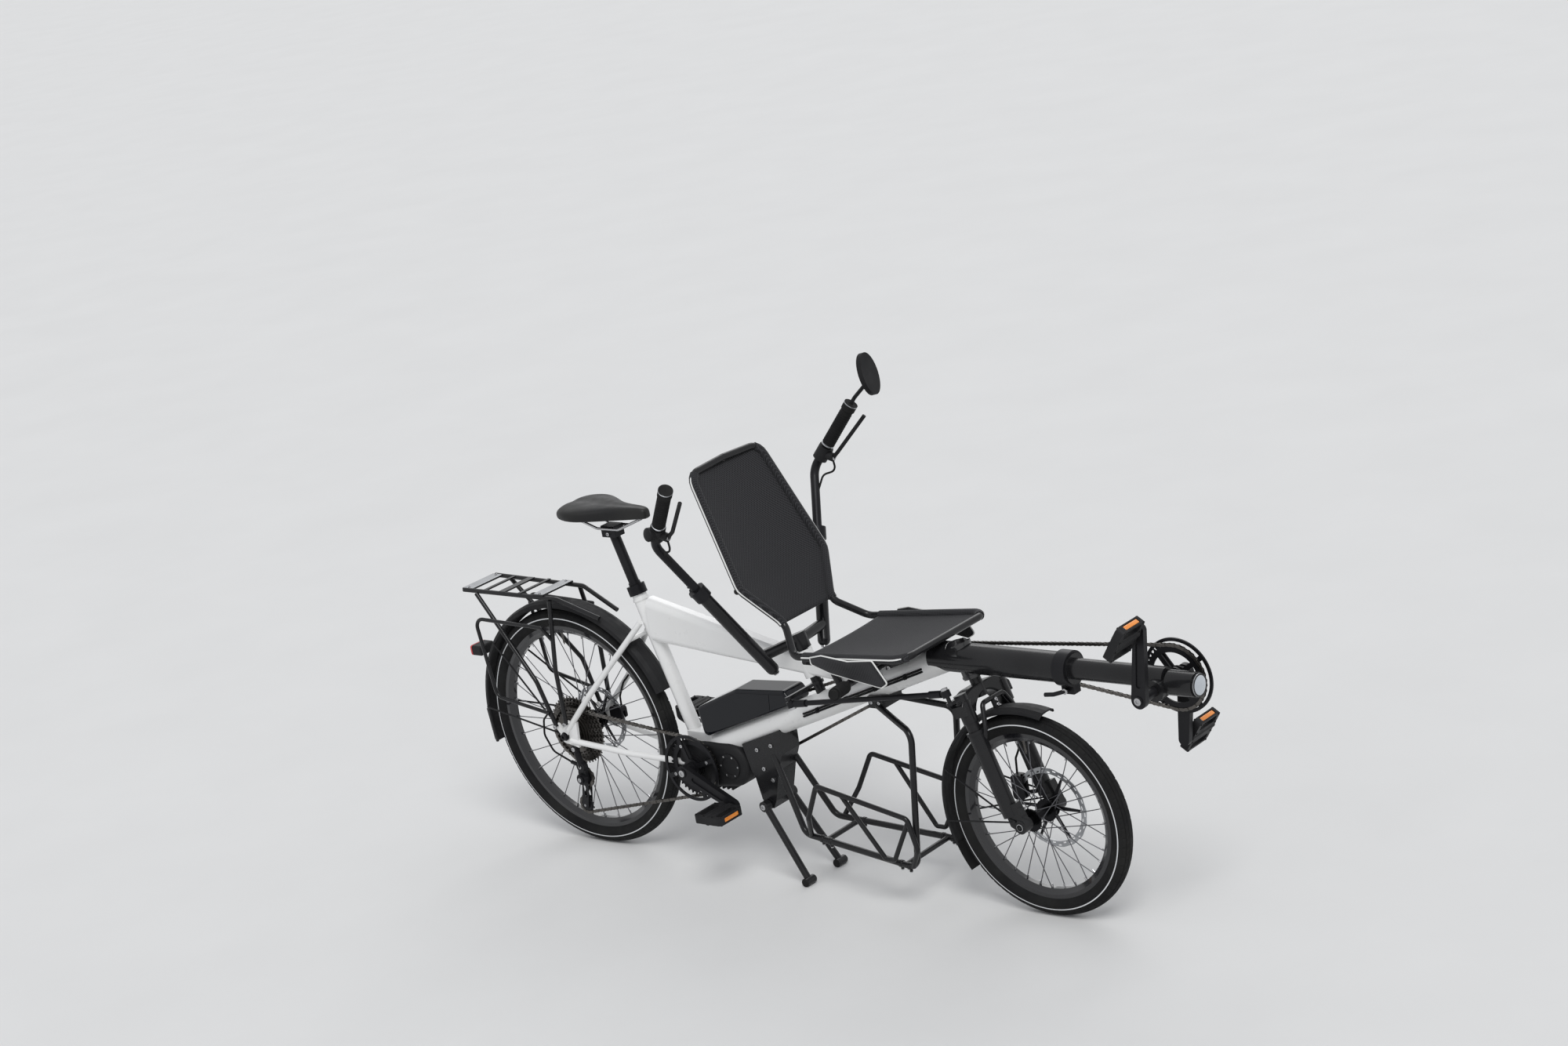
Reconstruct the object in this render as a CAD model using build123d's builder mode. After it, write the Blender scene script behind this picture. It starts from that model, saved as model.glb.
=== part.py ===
from build123d import *
import math
import os

# A semi-recumbent tandem: the front rider lies back, the rear rider sits upright and steers.
# Millimetres. X forward, Y left, Z up. Everything is placed from the rear axle's foot on the
# floor, and moved at the end so that the origin lies under the middle of the part.

# driving dimensions
WHEELBASE = 1480
REAR_R = 329.5
FRONT_R = 253
TYRE_W = 50
FORK_Y = 70
HEAD_ANGLE = 72
FORK_OFFSET = 20
CRANK = 170
FLUTE = 3
BB = (425, 278)
BOOM_BB = (1885, 612)
RING_R = 77
CHAIN_Y = 50
SYNC_Y = 52
BOOM_Z = 632
BOOM_R = 36
DOWN_TUBE_R = 33
SEAT_TUBE_X = 412
SEAT_TUBE_Z = 322
SEAT_TUBE_TOP = 720
SEAT_TUBE_LEAN = 0.2915
POST_R = 13.6
AXLE_END_R = 9
DROPOUT_FACE = 83.5
SHIM_R = 15.6
BAR_AXIS_X = 830
BAR_AXIS_Z = 600
LEVER = 110
REAR_LEVER_Z = 532
STAND_PIVOT = (648, 195)
STAND_REACH = 225
STAND_ANGLE = -60
FOOT_R = 11
CABLE_CLIPS = (870, 970, 1070, 1170)
PIN_GAP = 0.05
SEAM = 1.6
HOSE_R = 2.6
SHIFT = -810.5

REAR = (0, REAR_R)
FRONT = (WHEELBASE, FRONT_R)
TILT = math.radians(HEAD_ANGLE)
UP = Vector(-math.cos(TILT), 0, math.sin(TILT))
AHEAD = Vector(math.sin(TILT), 0, math.cos(TILT))
STEER_BASE = Vector(WHEELBASE, 0, FRONT_R) - AHEAD * FORK_OFFSET
BAR_BASE = Vector(BAR_AXIS_X, 0, BAR_AXIS_Z)


def steer_at(z):
    """The point of the fork's steering axis at height z."""
    return STEER_BASE + UP * ((z - STEER_BASE.Z) / UP.Z)


def bar_at(z):
    """The point of the rear steering axis at height z."""
    return BAR_BASE + UP * ((z - BAR_BASE.Z) / UP.Z)


def seat_line(z):
    """The point of the seat tube's axis at height z."""
    return (SEAT_TUBE_X - (z - SEAT_TUBE_Z) * SEAT_TUBE_LEAN, 0, z)


def bar(a, b, r, mode=Mode.ADD):
    """A round bar from a to b."""
    a = Vector(a)
    b = Vector(b)
    with Locations(Plane(origin=a, z_dir=b - a).location):
        Cylinder(r, (b - a).length, align=(Align.CENTER, Align.CENTER, Align.MIN), mode=mode)


def pipe(points, r, bend):
    """A round bar bent at its corners."""
    with BuildLine() as path:
        FilletPolyline(*points, radius=bend)
    with BuildSketch(Plane(origin=path.line @ 0, z_dir=path.line % 0)) as section:
        Circle(r)
    sweep(section.sketch, path=path.line)


def side_plane(y):
    """A sketch plane seen from the right, with x forward and z up, at y."""
    return Plane(origin=(0, y, 0), x_dir=(1, 0, 0), z_dir=(0, -1, 0))


def disc(centre, y0, y1, r, mode=Mode.ADD):
    """A round plate across the bike, from y0 to y1."""
    bar((centre[0], y0, centre[1]), (centre[0], y1, centre[1]), r, mode)


def wheel_plane(centre):
    """A sketch plane for a wheel's section: x out from the hub, y to the left."""
    return Plane(origin=(centre[0], 0, centre[1]), x_dir=(0, 0, 1), z_dir=(-1, 0, 0))


def wheel_axis(centre):
    return Axis((centre[0], 0, centre[1]), (0, 1, 0))


def add_tyre(centre, radius):
    section = radius - TYRE_W / 2
    with BuildSketch(wheel_plane(centre)) as outline:
        with Locations((section, 0)):
            Circle(TYRE_W / 2)
        with Locations((section - 20 - 25, 0)):
            Rectangle(50, 60, mode=Mode.SUBTRACT)
    revolve(outline.sketch, axis=wheel_axis(centre))


def add_rim(centre, radius):
    seat = radius - TYRE_W / 2 - 20
    with BuildSketch(wheel_plane(centre)) as outline:
        with BuildLine():
            Polyline((seat, 15), (seat, -15), (seat - 10, -15), (seat - 22, -6),
                     (seat - 22, 6), (seat - 10, 15), close=True)
        make_face()
    revolve(outline.sketch, axis=wheel_axis(centre))


def spokes(centre, radius, flanges, flange_r, count):
    """Crossed spokes: each flange has its own, half of them leading and half trailing."""
    end = radius - TYRE_W / 2 - 20 - 15
    for side, flange_y in enumerate(flanges):
        for i in range(count):
            lean = 48 if i % 2 else -48
            at_rim = math.radians((i + side * 0.5) * 360 / count)
            at_hub = at_rim + math.radians(lean)
            y_hub = flange_y + (1.6 if i % 2 else -1.6)
            a = (centre[0] + flange_r * math.cos(at_hub), y_hub,
                 centre[1] + flange_r * math.sin(at_hub))
            b = (centre[0] + end * math.cos(at_rim), flange_y * 0.05,
                 centre[1] + end * math.sin(at_rim))
            bar(a, b, 1.2)


def chain_loop(wheels, offset):
    """The closed line of a chain round its wheels: (x, z, radius, turn), turn +1 or -1.
    Offset moves the line to its left, so two of them bound the chain."""
    line = []
    n = len(wheels)
    touch = []
    for i in range(n):
        x0, z0, r0, s0 = wheels[i]
        x1, z1, r1, s1 = wheels[(i + 1) % n]
        r0 = r0 - s0 * offset
        r1 = r1 - s1 * offset
        dx = x1 - x0
        dz = z1 - z0
        gap = math.hypot(dx, dz)
        base = math.atan2(dz, dx)
        lean = math.asin((s1 * r1 - s0 * r0) / gap)
        way = base - lean
        nx = math.sin(way)
        nz = -math.cos(way)
        a = (x0 + s0 * r0 * nx, z0 + s0 * r0 * nz)
        b = (x1 + s1 * r1 * nx, z1 + s1 * r1 * nz)
        touch.append((a, b))
    for i in range(n):
        a, b = touch[i]
        line.append(("line", a, b))
        x1, z1, r1, s1 = wheels[(i + 1) % n]
        r1 = r1 - s1 * offset
        c = touch[(i + 1) % n][0]
        start = math.atan2(b[1] - z1, b[0] - x1)
        stop = math.atan2(c[1] - z1, c[0] - x1)
        turn = (stop - start) % (2 * math.pi) if s1 > 0 else -((start - stop) % (2 * math.pi))
        middle = start + turn / 2
        m = (x1 + r1 * math.cos(middle), z1 + r1 * math.sin(middle))
        line.append(("arc", b, m, c))
    return line


def add_chain(wheels, y, width, half):
    """A chain as one closed band round its wheels."""
    for offset, mode in ((-half, Mode.ADD), (half, Mode.SUBTRACT)):
        with BuildSketch(side_plane(y + width / 2)) as outline:
            with BuildLine():
                for piece in chain_loop(wheels, offset):
                    if piece[0] == "line":
                        Line(piece[1], piece[2])
                    else:
                        ThreePointArc(piece[1], piece[2], piece[3])
            make_face()
        extrude(outline.sketch, amount=width, mode=mode)


def ring_points(centre, r, angle):
    a = math.radians(angle)
    return (centre[0] + r * math.cos(a), centre[1] + r * math.sin(a))


# frame

with BuildPart() as frame_main:
    bar((470, 0, 322), (1336, 0, 649), DOWN_TUBE_R)
    for x, z, height, width, corner in ((335, 656, 118, 50, 20), (1010, 547, 18, 40, 7)):
        with BuildSketch(Plane(origin=(x, 0, z), x_dir=(0, 1, 0), z_dir=(1, 0, 0))):
            RectangleRounded(width, height, corner)
    loft()
    bar(seat_line(SEAT_TUBE_Z), seat_line(SEAT_TUBE_TOP), 19)
    with Locations((440, 0, 335)):
        Box(80, 56, 60)
    bar(steer_at(586), steer_at(668), 25)
    bar(bar_at(REAR_LEVER_Z + 13), bar_at(610), 22)
    for z in (589, 663):
        bar(steer_at(z), steer_at(z + 5), 27)
    bar(seat_line(SEAT_TUBE_TOP - 16), seat_line(SEAT_TUBE_TOP - 10), 21)
    bar(steer_at(560), steer_at(700), 14.3 + PIN_GAP, Mode.SUBTRACT)
    bar(bar_at(500), bar_at(640), 12.65 + PIN_GAP, Mode.SUBTRACT)
    bar(seat_line(640), seat_line(SEAT_TUBE_TOP + 20), SHIM_R + PIN_GAP, Mode.SUBTRACT)

RACK_FEET = ((-22, 356), (16, 366))
with BuildPart() as rear_triangle:
    for side in (-1, 1):
        pipe([(0, side * 78, REAR_R + 6), (118, side * 75, 455), (306, side * 24, 652)], 8, 60)
        disc(REAR, side * 71, side * 79, 22)
        with BuildSketch(side_plane(side * 75 + 4)):
            with BuildLine():
                Polyline((-8, 310), (40, 300), (48, 372), (14, 350), close=True)
            make_face()
        extrude(amount=8)
        for tab in RACK_FEET:
            with BuildSketch(side_plane(side * 77 + 2)) as tab_outline:
                with Locations(REAR, tab):
                    Circle(8)
                make_hull()
            extrude(tab_outline.sketch, amount=4)
    bar((256, -36, 600), (256, 36, 600), 6)
    disc(REAR, -90, 90, 6, Mode.SUBTRACT)
    for side in (-1, 1):
        disc(REAR, side * DROPOUT_FACE, side * 96, 24, Mode.SUBTRACT)
    add(frame_main.part, mode=Mode.SUBTRACT)

with BuildPart() as chain_stays:
    for side in (-1, 1):
        pipe([(15, side * 77, REAR_R - 12.5), (200, side * 58, 293.5), (345, side * 37, 281),
              (392, side * 34, 277)], 8, 60)
        disc(REAR, side * DROPOUT_FACE, side * 96, 28, Mode.SUBTRACT)
    add(frame_main.part, mode=Mode.SUBTRACT)
    add(rear_triangle.part, mode=Mode.SUBTRACT)

with BuildPart() as rear_axle:
    disc(REAR, -82, 82, 6)
    for side in (-1, 1):
        disc(REAR, side * 79, side * 84, 12)
        disc(REAR, side * 84, side * 92, AXLE_END_R)
        disc(REAR, side * 88, side * 93, 4, Mode.SUBTRACT)
    add(rear_triangle.part, mode=Mode.SUBTRACT)

MOTOR_FINS = (440, 456, 472, 488, 504, 520)
MOTOR_END = (542, 288)
MOTOR_HALF = 42
with BuildPart() as motor:
    with BuildSketch(side_plane(MOTOR_HALF)):
        with Locations(BB):
            Circle(62)
        with Locations(MOTOR_END):
            Circle(58)
        make_hull()
    extrude(amount=2 * MOTOR_HALF)
    fillet(motor.edges().group_by(Axis.Y)[0] + motor.edges().group_by(Axis.Y)[-1], 12)
    for face in (-MOTOR_HALF, MOTOR_HALF):
        cover = math.copysign(3, face)
        disc(BB, face, face + cover, 26)
        disc(MOTOR_END, face, face + cover, 33)
        disc(MOTOR_END, face + cover / 2, face + cover, 24, Mode.SUBTRACT)
    for x in MOTOR_FINS:
        with Locations((x, 0, 222)):
            Box(5, 56, 16)
    disc(BB, -70, 70, 12 + PIN_GAP, Mode.SUBTRACT)
    add(frame_main.part, mode=Mode.SUBTRACT)
    add(chain_stays.part, mode=Mode.SUBTRACT)

with BuildPart() as battery:
    with BuildSketch(side_plane(40)) as battery_outline:
        with BuildLine():
            Polyline((469, 357), (460, 438), (606, 500), (768, 510), (796, 476), close=True)
        make_face()
        fillet(battery_outline.vertices(), 14)
    extrude(amount=80)
    fillet(battery.edges().group_by(Axis.Y)[0] + battery.edges().group_by(Axis.Y)[-1], 9)
    for side in (-1, 1):
        with BuildSketch(side_plane(side * 40 + SEAM / 2)) as seams:
            with BuildLine():
                Polyline((474, 442), (607, 491), (764, 500), (764, 502), (606, 493), (474, 444),
                         close=True)
            make_face()
            with BuildLine():
                Polyline((712, 442), (714, 442), (721, 497), (719, 497), close=True)
            make_face()
        extrude(seams.sketch, amount=SEAM, mode=Mode.SUBTRACT)
    disc((500, 408), 36, 41.5, 8)
    add(frame_main.part, mode=Mode.SUBTRACT)

with BuildPart() as rack_stand_bracket:
    with BuildSketch(side_plane(34)):
        with BuildLine():
            Polyline((590, 350), (725, 400), (722, 335), (700, 290), (672, 205), (660, 183),
                     (636, 183), (626, 205), (616, 262), (606, 282), close=True)
        make_face()
    extrude(amount=68)
    disc(STAND_PIVOT, -36, 36, 14)
    disc(STAND_PIVOT, -40, 40, 6 + PIN_GAP, Mode.SUBTRACT)
    add(frame_main.part, mode=Mode.SUBTRACT)
    add(motor.part, mode=Mode.SUBTRACT)

# boom

with BuildPart() as boom_sleeve:
    bar((1245, 0, BOOM_Z), (1650, 0, BOOM_Z), BOOM_R)
    bar((1400, 0, BOOM_Z), (1660, 0, BOOM_Z), 25, Mode.SUBTRACT)
    add(frame_main.part, mode=Mode.SUBTRACT)
    bar(steer_at(560), steer_at(700), 14.3 + PIN_GAP, Mode.SUBTRACT)

with BuildPart() as boom_tube:
    bar((1400, 0, BOOM_Z), (1900, 0, BOOM_Z), 25)
    disc(BOOM_BB, -38, 38, 25)
    disc(BOOM_BB, -40, 40, 12 + PIN_GAP, Mode.SUBTRACT)

with BuildPart() as boom_clamp:
    bar((1612, 0, BOOM_Z), (1646, 0, BOOM_Z), BOOM_R + 6)
    with Locations((1629, 0, 586)):
        Box(34, 26, 26)
    bar((1629, -24, 584), (1629, 24, 584), 6)
    pipe([(1629, -24, 584), (1600, -30, 576), (1575, -30, 573)], 5, 8)
    bar((1600, 0, BOOM_Z), (1660, 0, BOOM_Z), BOOM_R, Mode.SUBTRACT)

with BuildPart() as headlight:
    bar((1900, 0, 622), (1908, 0, 622), 18)
    bar((1908, 0, 622), (1978, 0, 622), 29)
    bar((1978, 0, 622), (1985, 0, 622), 26)
    add(boom_tube.part, mode=Mode.SUBTRACT)

# rear rider's saddle

# the saddle's sections: x, middle height, width, height
SADDLE_SECTIONS = ((112, 946, 112, 34), (140, 946, 152, 42), (185, 945, 168, 45), (225, 943, 128, 44),
                   (262, 942, 82, 42), (310, 941, 54, 38), (360, 941, 38, 30), (385, 940, 28, 26))
with BuildPart() as seat_post:
    bar(seat_line(642), seat_line(878), POST_R)
    bar(seat_line(642), seat_line(752), SHIM_R)
    bar(seat_line(SEAT_TUBE_TOP), seat_line(744), 24)
    with Locations((247, 0, 890)):
        Box(46, 36, 30)

with BuildPart() as saddle_rails:
    for side in (-1, 1):
        pipe([(165, side * 34, 925), (215, side * 22, 899), (290, side * 22, 899),
              (350, side * 8, 922)], 3.6, 14)
    add(seat_post.part, mode=Mode.SUBTRACT)

with BuildPart() as saddle:
    for x, z, width, height in SADDLE_SECTIONS:
        with BuildSketch(Plane(origin=(x, 0, z), x_dir=(0, 1, 0), z_dir=(1, 0, 0))):
            RectangleRounded(width, height, 12)
    loft(ruled=True)
    add(saddle_rails.part, mode=Mode.SUBTRACT)

# front rider's mesh seat

SIDE_LINE = [(680, 0, 1100), (683, 125, 1095), (808, 160, 821), (866, 88, 714),
             (930, 145, 655), (1285, 160, 682), (1285, 0, 682)]
# the cross bars: x, half width, height, and how far the middle bows in x and z
CROSS_BARS = ((961, 146, 646, 4, -16), (797, 158, 816, -28, -12), (726, 138, 996, -28, -12),
              (1131, 153, 659, 0, -26))
with BuildPart() as mesh_frame:
    for side in (-1, 1):
        pipe([(x, side * y, z) for x, y, z in SIDE_LINE], 9, 34)
    for x, half, z, drop_x, drop_z in CROSS_BARS:
        pipe([(x, -half, z), (x + drop_x, 36 - half, z + drop_z),
              (x + drop_x, half - 36, z + drop_z), (x, half, z)], 8, 24)
    pipe([(950, -22, 530), (945, -40, 590), (961, -60, 640)], 9, 30)
    pipe([(950, 22, 530), (945, 40, 590), (961, 60, 640)], 9, 30)
    with Locations((1130, 0, 610)):
        Box(60, 40, 50)
    bar((1112, -30, 612), (1112, 30, 612), 9, Mode.SUBTRACT)
    add(frame_main.part, mode=Mode.SUBTRACT)

with BuildPart() as mesh_back:
    back_plane = Plane(origin=(771.5, 0, 901), x_dir=(0, 1, 0), z_dir=(0.912, 0, 0.411))
    with BuildSketch(back_plane):
        with BuildLine():
            Polyline((0, 214), (112, 212), (128, 198), (160, -88), (89, -206), (0, -206))
            Line((0, -206), (0, 214))
        make_face()
        mirror(about=Plane.YZ)
    extrude(amount=4, both=True)
    add(mesh_frame.part, mode=Mode.SUBTRACT)

with BuildPart() as mesh_pan:
    with BuildSketch(Plane(origin=(1102, 0, 669.5), x_dir=(1, 0, 0), z_dir=(-0.0736, 0, 0.9973))):
        with BuildLine():
            Polyline((-182, -145), (183, -160), (183, 160), (-182, 145), close=True)
        make_face()
    extrude(amount=4, both=True)
    for side in (-1, 1):
        bar((1010, side * 148.8, 661.8), (1200, side * 156.5, 675.7), 12)
        with BuildSketch(side_plane(side * 163 + 3)):
            with BuildLine():
                Polyline((1010, 662), (1196, 676), (1228, 622), (1212, 612), (1060, 636),
                         (1010, 650), close=True)
            make_face()
        extrude(amount=6)
    add(mesh_frame.part, mode=Mode.SUBTRACT)

with BuildPart() as hand_bar:
    bar((1112, -168, 612), (1112, 168, 612), 9)
    for side in (-1, 1):
        bar((1112, side * 168, 612), (1120, side * 198, 612), 9)
        with Locations((1112, side * 168, 612)):
            Sphere(9)

with BuildPart() as hand_grips:
    for side in (-1, 1):
        bar((1118, side * 192, 612), (1142, side * 258, 622), 15)
        bar((1142, side * 258, 622), (1145, side * 266, 623), 12)
    add(hand_bar.part, mode=Mode.SUBTRACT)

# low rack under the front rider

with BuildPart() as low_rack:
    for side in (-1, 1):
        pipe([(690, side * 30, 330), (778, side * 60, 140), (1150, side * 88, 108),
              (1204, side * 88, 462), (1066, side * 34, 500)], 8, 32)
    bar((850, -66, 134), (850, 66, 134), 7)
    bar((1112, -84, 111), (1112, 84, 111), 7)
    with Locations((1064, 0, 508)):
        Box(44, 76, 30)
    add(frame_main.part, mode=Mode.SUBTRACT)
    add(rack_stand_bracket.part, mode=Mode.SUBTRACT)

with BuildPart() as pannier_hoop_right:
    pipe([(800, -64, 138), (834, -100, 205), (886, -108, 300), (1160, -108, 246),
          (1174, -104, 165), (1140, -90, 112)], 6.5, 16)
    pipe([(962, -108, 285), (1066, -102, 128), (1094, -102, 128), (1158, -108, 232)], 6, 10)
    add(low_rack.part, mode=Mode.SUBTRACT)

with BuildPart() as pannier_hoop_left:
    add(mirror(pannier_hoop_right.part, about=Plane.XZ, mode=Mode.PRIVATE))

# rear guard, rack and lamp

with BuildPart() as rear_mudguard:
    with BuildSketch(wheel_plane(REAR)):
        with BuildLine():
            Polyline((341, 30), (350, 27), (356, 15), (357, 0), (353, 0), (352, 14), (346, 24),
                     (338, 27), close=True)
        make_face()
        mirror(about=Plane.XZ)
    revolve(axis=wheel_axis(REAR), revolution_arc=360)
    with BuildSketch(side_plane(60)):
        with BuildLine():
            Polyline((0, REAR_R), ring_points(REAR, 600, 22), ring_points(REAR, 900, -45),
                     ring_points(REAR, 900, -110), ring_points(REAR, 600, -168), close=True)
        make_face()
    extrude(amount=120, mode=Mode.SUBTRACT)
    with BuildSketch(side_plane(24)):
        with BuildLine():
            Polyline((-349, 262), (-345, 262), (-352, 352), (-356, 352), close=True)
        make_face()
    extrude(amount=48)
    for side in (-1, 1):
        bar((-4, side * 81, REAR_R + 4), (-262, side * 32, 551), 2.5)
        bar((-4, side * 81, REAR_R + 4), (-341, side * 32, 361), 2.5)
    add(rear_triangle.part, mode=Mode.SUBTRACT)
    add(rear_axle.part, mode=Mode.SUBTRACT)

RACK_TOP = 716
# the deck's slats: x and width
RACK_SLATS = ((-288, 40), (-222, 10), (-156, 22), (-90, 10), (-20, 38))
with BuildPart() as rear_rack:
    for side in (-1, 1):
        pipe([(168, side * 34, 655), (40, side * 52, 706), (-300, side * 60, 712)], 6, 30)
        pipe([(-22, side * 85, 356), (-60, side * 88, 480), (-250, side * 64, 706)], 6, 40)
        pipe([(16, side * 85, 366), (20, side * 86, 520), (20, side * 58, 702)], 6, 40)
        pipe([(12, side * 98, 640), (-236, side * 100, 650), (-212, side * 100, 430),
              (-30, side * 92, 395)], 5, 26)
        bar((12, side * 98, 640), (18, side * 76, 600), 5)
        with Locations((12, side * 98, 640)):
            Sphere(5)
    for x, width in RACK_SLATS:
        with Locations((x, 0, RACK_TOP - 2)):
            Box(width, 116, 4)
    add(rear_triangle.part, mode=Mode.SUBTRACT)
    add(frame_main.part, mode=Mode.SUBTRACT)
    add(rear_mudguard.part, mode=Mode.SUBTRACT)
    add(rear_axle.part, mode=Mode.SUBTRACT)

with BuildPart() as tail_lamp:
    with Locations((-345, 0, 520)):
        Box(38, 54, 28)
    fillet(tail_lamp.edges(), 6)
    disc(REAR, -30, 30, 357.5, Mode.SUBTRACT)
    add(rear_mudguard.part, mode=Mode.SUBTRACT)

# fork

with BuildPart() as fork_upper:
    bar(steer_at(540), steer_at(666), 14.3)
    crown = Plane(origin=steer_at(562), x_dir=(0, 1, 0), z_dir=UP)
    arch = Plane(origin=STEER_BASE, x_dir=(0, 1, 0), z_dir=AHEAD)
    with BuildSketch(arch.offset(-22)) as arch_outline:
        with BuildLine():
            Line((-FORK_Y - 21, 288), (-FORK_Y - 21, 314))
            ThreePointArc((-FORK_Y - 21, 314), (-64, 334), (-26, 341))
            Line((-26, 341), (26, 341))
            ThreePointArc((26, 341), (64, 334), (FORK_Y + 21, 314))
            Line((FORK_Y + 21, 314), (FORK_Y + 21, 288))
            Line((FORK_Y + 21, 288), (FORK_Y - 20, 288))
            ThreePointArc((FORK_Y - 20, 288), (0, 318), (20 - FORK_Y, 288))
            Line((20 - FORK_Y, 288), (-FORK_Y - 21, 288))
        make_face()
    extrude(arch_outline.sketch, amount=36)
    fillet(fork_upper.edges().filter_by(GeomType.CIRCLE).filter_by(
        lambda e: e.radius > 50), 5)
    for side in (-1, 1):
        off = Vector(0, side * FORK_Y, 0)
        bar(STEER_BASE + UP * 196 + off, STEER_BASE + UP * 338 + off, 16)
        bar(STEER_BASE + UP * 268 + off, STEER_BASE + UP * 320 + off, 19)
    arm = steer_at(562)
    with BuildSketch(crown.offset(-5)):
        with Locations((-LEVER / 2 - 20, 0)):
            SlotOverall(LEVER - 40 + 18, 18)
    extrude(amount=8)
    bar(arm + Vector(0, -LEVER, 0), arm + Vector(0, -LEVER, 0) + UP * 34, 5)

# the brace over the wheel: how far up and ahead of the steering axis, and y
BRACE_LINE = ((214, 10, -66), (246, 27, -62), (298, 27, -40), (298, 27, 40), (246, 27, 62),
              (214, 10, 66))
with BuildPart() as fork_lowers:
    for side in (-1, 1):
        off = Vector(0, side * FORK_Y, 0)
        bar(STEER_BASE + UP * 30 + off, STEER_BASE + UP * 238 + off, 20)
        bar(STEER_BASE + UP * 238 + off, STEER_BASE + UP * 246 + off, 22)
        bar((WHEELBASE, side * 53, FRONT_R), (WHEELBASE, side * 82, FRONT_R), 17)
        with BuildSketch(side_plane(side * FORK_Y + 11)):
            with BuildLine():
                Polyline((1438, 300), (1474, 312), (1497, 256), (1480, 236), (1452, 252), close=True)
            make_face()
        extrude(amount=22)
    pipe([STEER_BASE + UP * t + AHEAD * ahead + Vector(0, y, 0) for t, ahead, y in BRACE_LINE],
         6, 14)
    for side in (-1, 1):
        off = Vector(0, side * FORK_Y, 0)
        bar(STEER_BASE + UP * 180 + off, STEER_BASE + UP * 260 + off, 16, Mode.SUBTRACT)
    bar((WHEELBASE, -85, FRONT_R), (WHEELBASE, 85, FRONT_R), 7.5)
    add(fork_upper.part, mode=Mode.SUBTRACT)

with BuildPart() as front_mudguard:
    with BuildSketch(wheel_plane(FRONT)):
        with BuildLine():
            Polyline((262, 30), (268, 28), (273, 15), (274, 0), (270.5, 0), (269.5, 14),
                     (265, 25), (260, 28), close=True)
        make_face()
        mirror(about=Plane.XZ)
    revolve(axis=wheel_axis(FRONT), revolution_arc=360)
    with BuildSketch(side_plane(60)):
        with BuildLine():
            Polyline(FRONT, ring_points(FRONT, 600, 76), ring_points(FRONT, 900, 0),
                     ring_points(FRONT, 900, -80), ring_points(FRONT, 600, -158), close=True)
        make_face()
    extrude(amount=120, mode=Mode.SUBTRACT)
    for side in (-1, 1):
        for angle in (158, 188):
            end = ring_points(FRONT, 265, angle)
            bar((1470, side * 84, 266), (end[0], side * 28.5, end[1]), 2.2)
    bar(STEER_BASE + UP * 271 + AHEAD * 27, STEER_BASE + UP * 300 + AHEAD * 27, 7)
    add(fork_lowers.part, mode=Mode.SUBTRACT)
    add(fork_upper.part, mode=Mode.SUBTRACT)


def add_rotor(centre, y, r, hub_r, bore):
    """A brake disc with open arms, 2 mm thick."""
    with BuildSketch(side_plane(y + 1)) as outline:
        with Locations(centre):
            Circle(r)
            Circle(r - 15, mode=Mode.SUBTRACT)
        with Locations(centre):
            Circle(hub_r)
        with Locations(centre):
            with PolarLocations((r - 15 + hub_r) / 2, 6):
                Rectangle(r - 15 - hub_r + 6, 7)
        with Locations(centre):
            with PolarLocations(r - 7.5, 18):
                SlotOverall(9, 4, mode=Mode.SUBTRACT)
            Circle(bore, mode=Mode.SUBTRACT)
    extrude(outline.sketch, amount=2)


with BuildPart() as front_caliper:
    with BuildSketch(side_plane(56)):
        with Locations((1396, 296)):
            RectangleRounded(34, 62, 9)
    extrude(amount=22)
    bar((1396, 53, 316), (1446, 62, 324), 5)
    bar((1396, 53, 276), (1446, 62, 284), 5)
    with BuildSketch(side_plane(47)):
        with Locations(FRONT):
            Circle(106)
    extrude(amount=8, mode=Mode.SUBTRACT)
    add(fork_lowers.part, mode=Mode.SUBTRACT)

# wheels

with BuildPart() as front_tyre:
    add_tyre(FRONT, FRONT_R)

with BuildPart() as front_rim:
    add_rim(FRONT, FRONT_R)

with BuildPart() as front_hub:
    disc(FRONT, -52, 52, 13)
    disc(FRONT, -39, -35, 28)
    disc(FRONT, 22, 26, 28)
    disc(FRONT, 36, 42, 21)
    spokes(FRONT, FRONT_R, (-37, 24), 25, 16)
    disc(FRONT, -54, 54, 7.5 + PIN_GAP, Mode.SUBTRACT)
    add(front_rim.part, mode=Mode.SUBTRACT)

with BuildPart() as front_rotor:
    add_rotor(FRONT, 43, 101, 24, 13)
    add(front_hub.part, mode=Mode.SUBTRACT)

with BuildPart() as rear_tyre:
    add_tyre(REAR, REAR_R)

with BuildPart() as rear_rim:
    add_rim(REAR, REAR_R)

with BuildPart() as rear_hub:
    disc(REAR, -69, 69, 11)
    disc(REAR, -30, 50, 17)
    disc(REAR, -25, -21, 30)
    disc(REAR, 32, 36, 30)
    disc(REAR, 50, 55, 21)
    spokes(REAR, REAR_R, (-23, 34), 27, 16)
    disc(REAR, -71, 71, 6 + PIN_GAP, Mode.SUBTRACT)
    add(rear_rim.part, mode=Mode.SUBTRACT)

with BuildPart() as rear_rotor:
    add_rotor(REAR, 57, 90, 24, 11)
    add(rear_hub.part, mode=Mode.SUBTRACT)

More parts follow.
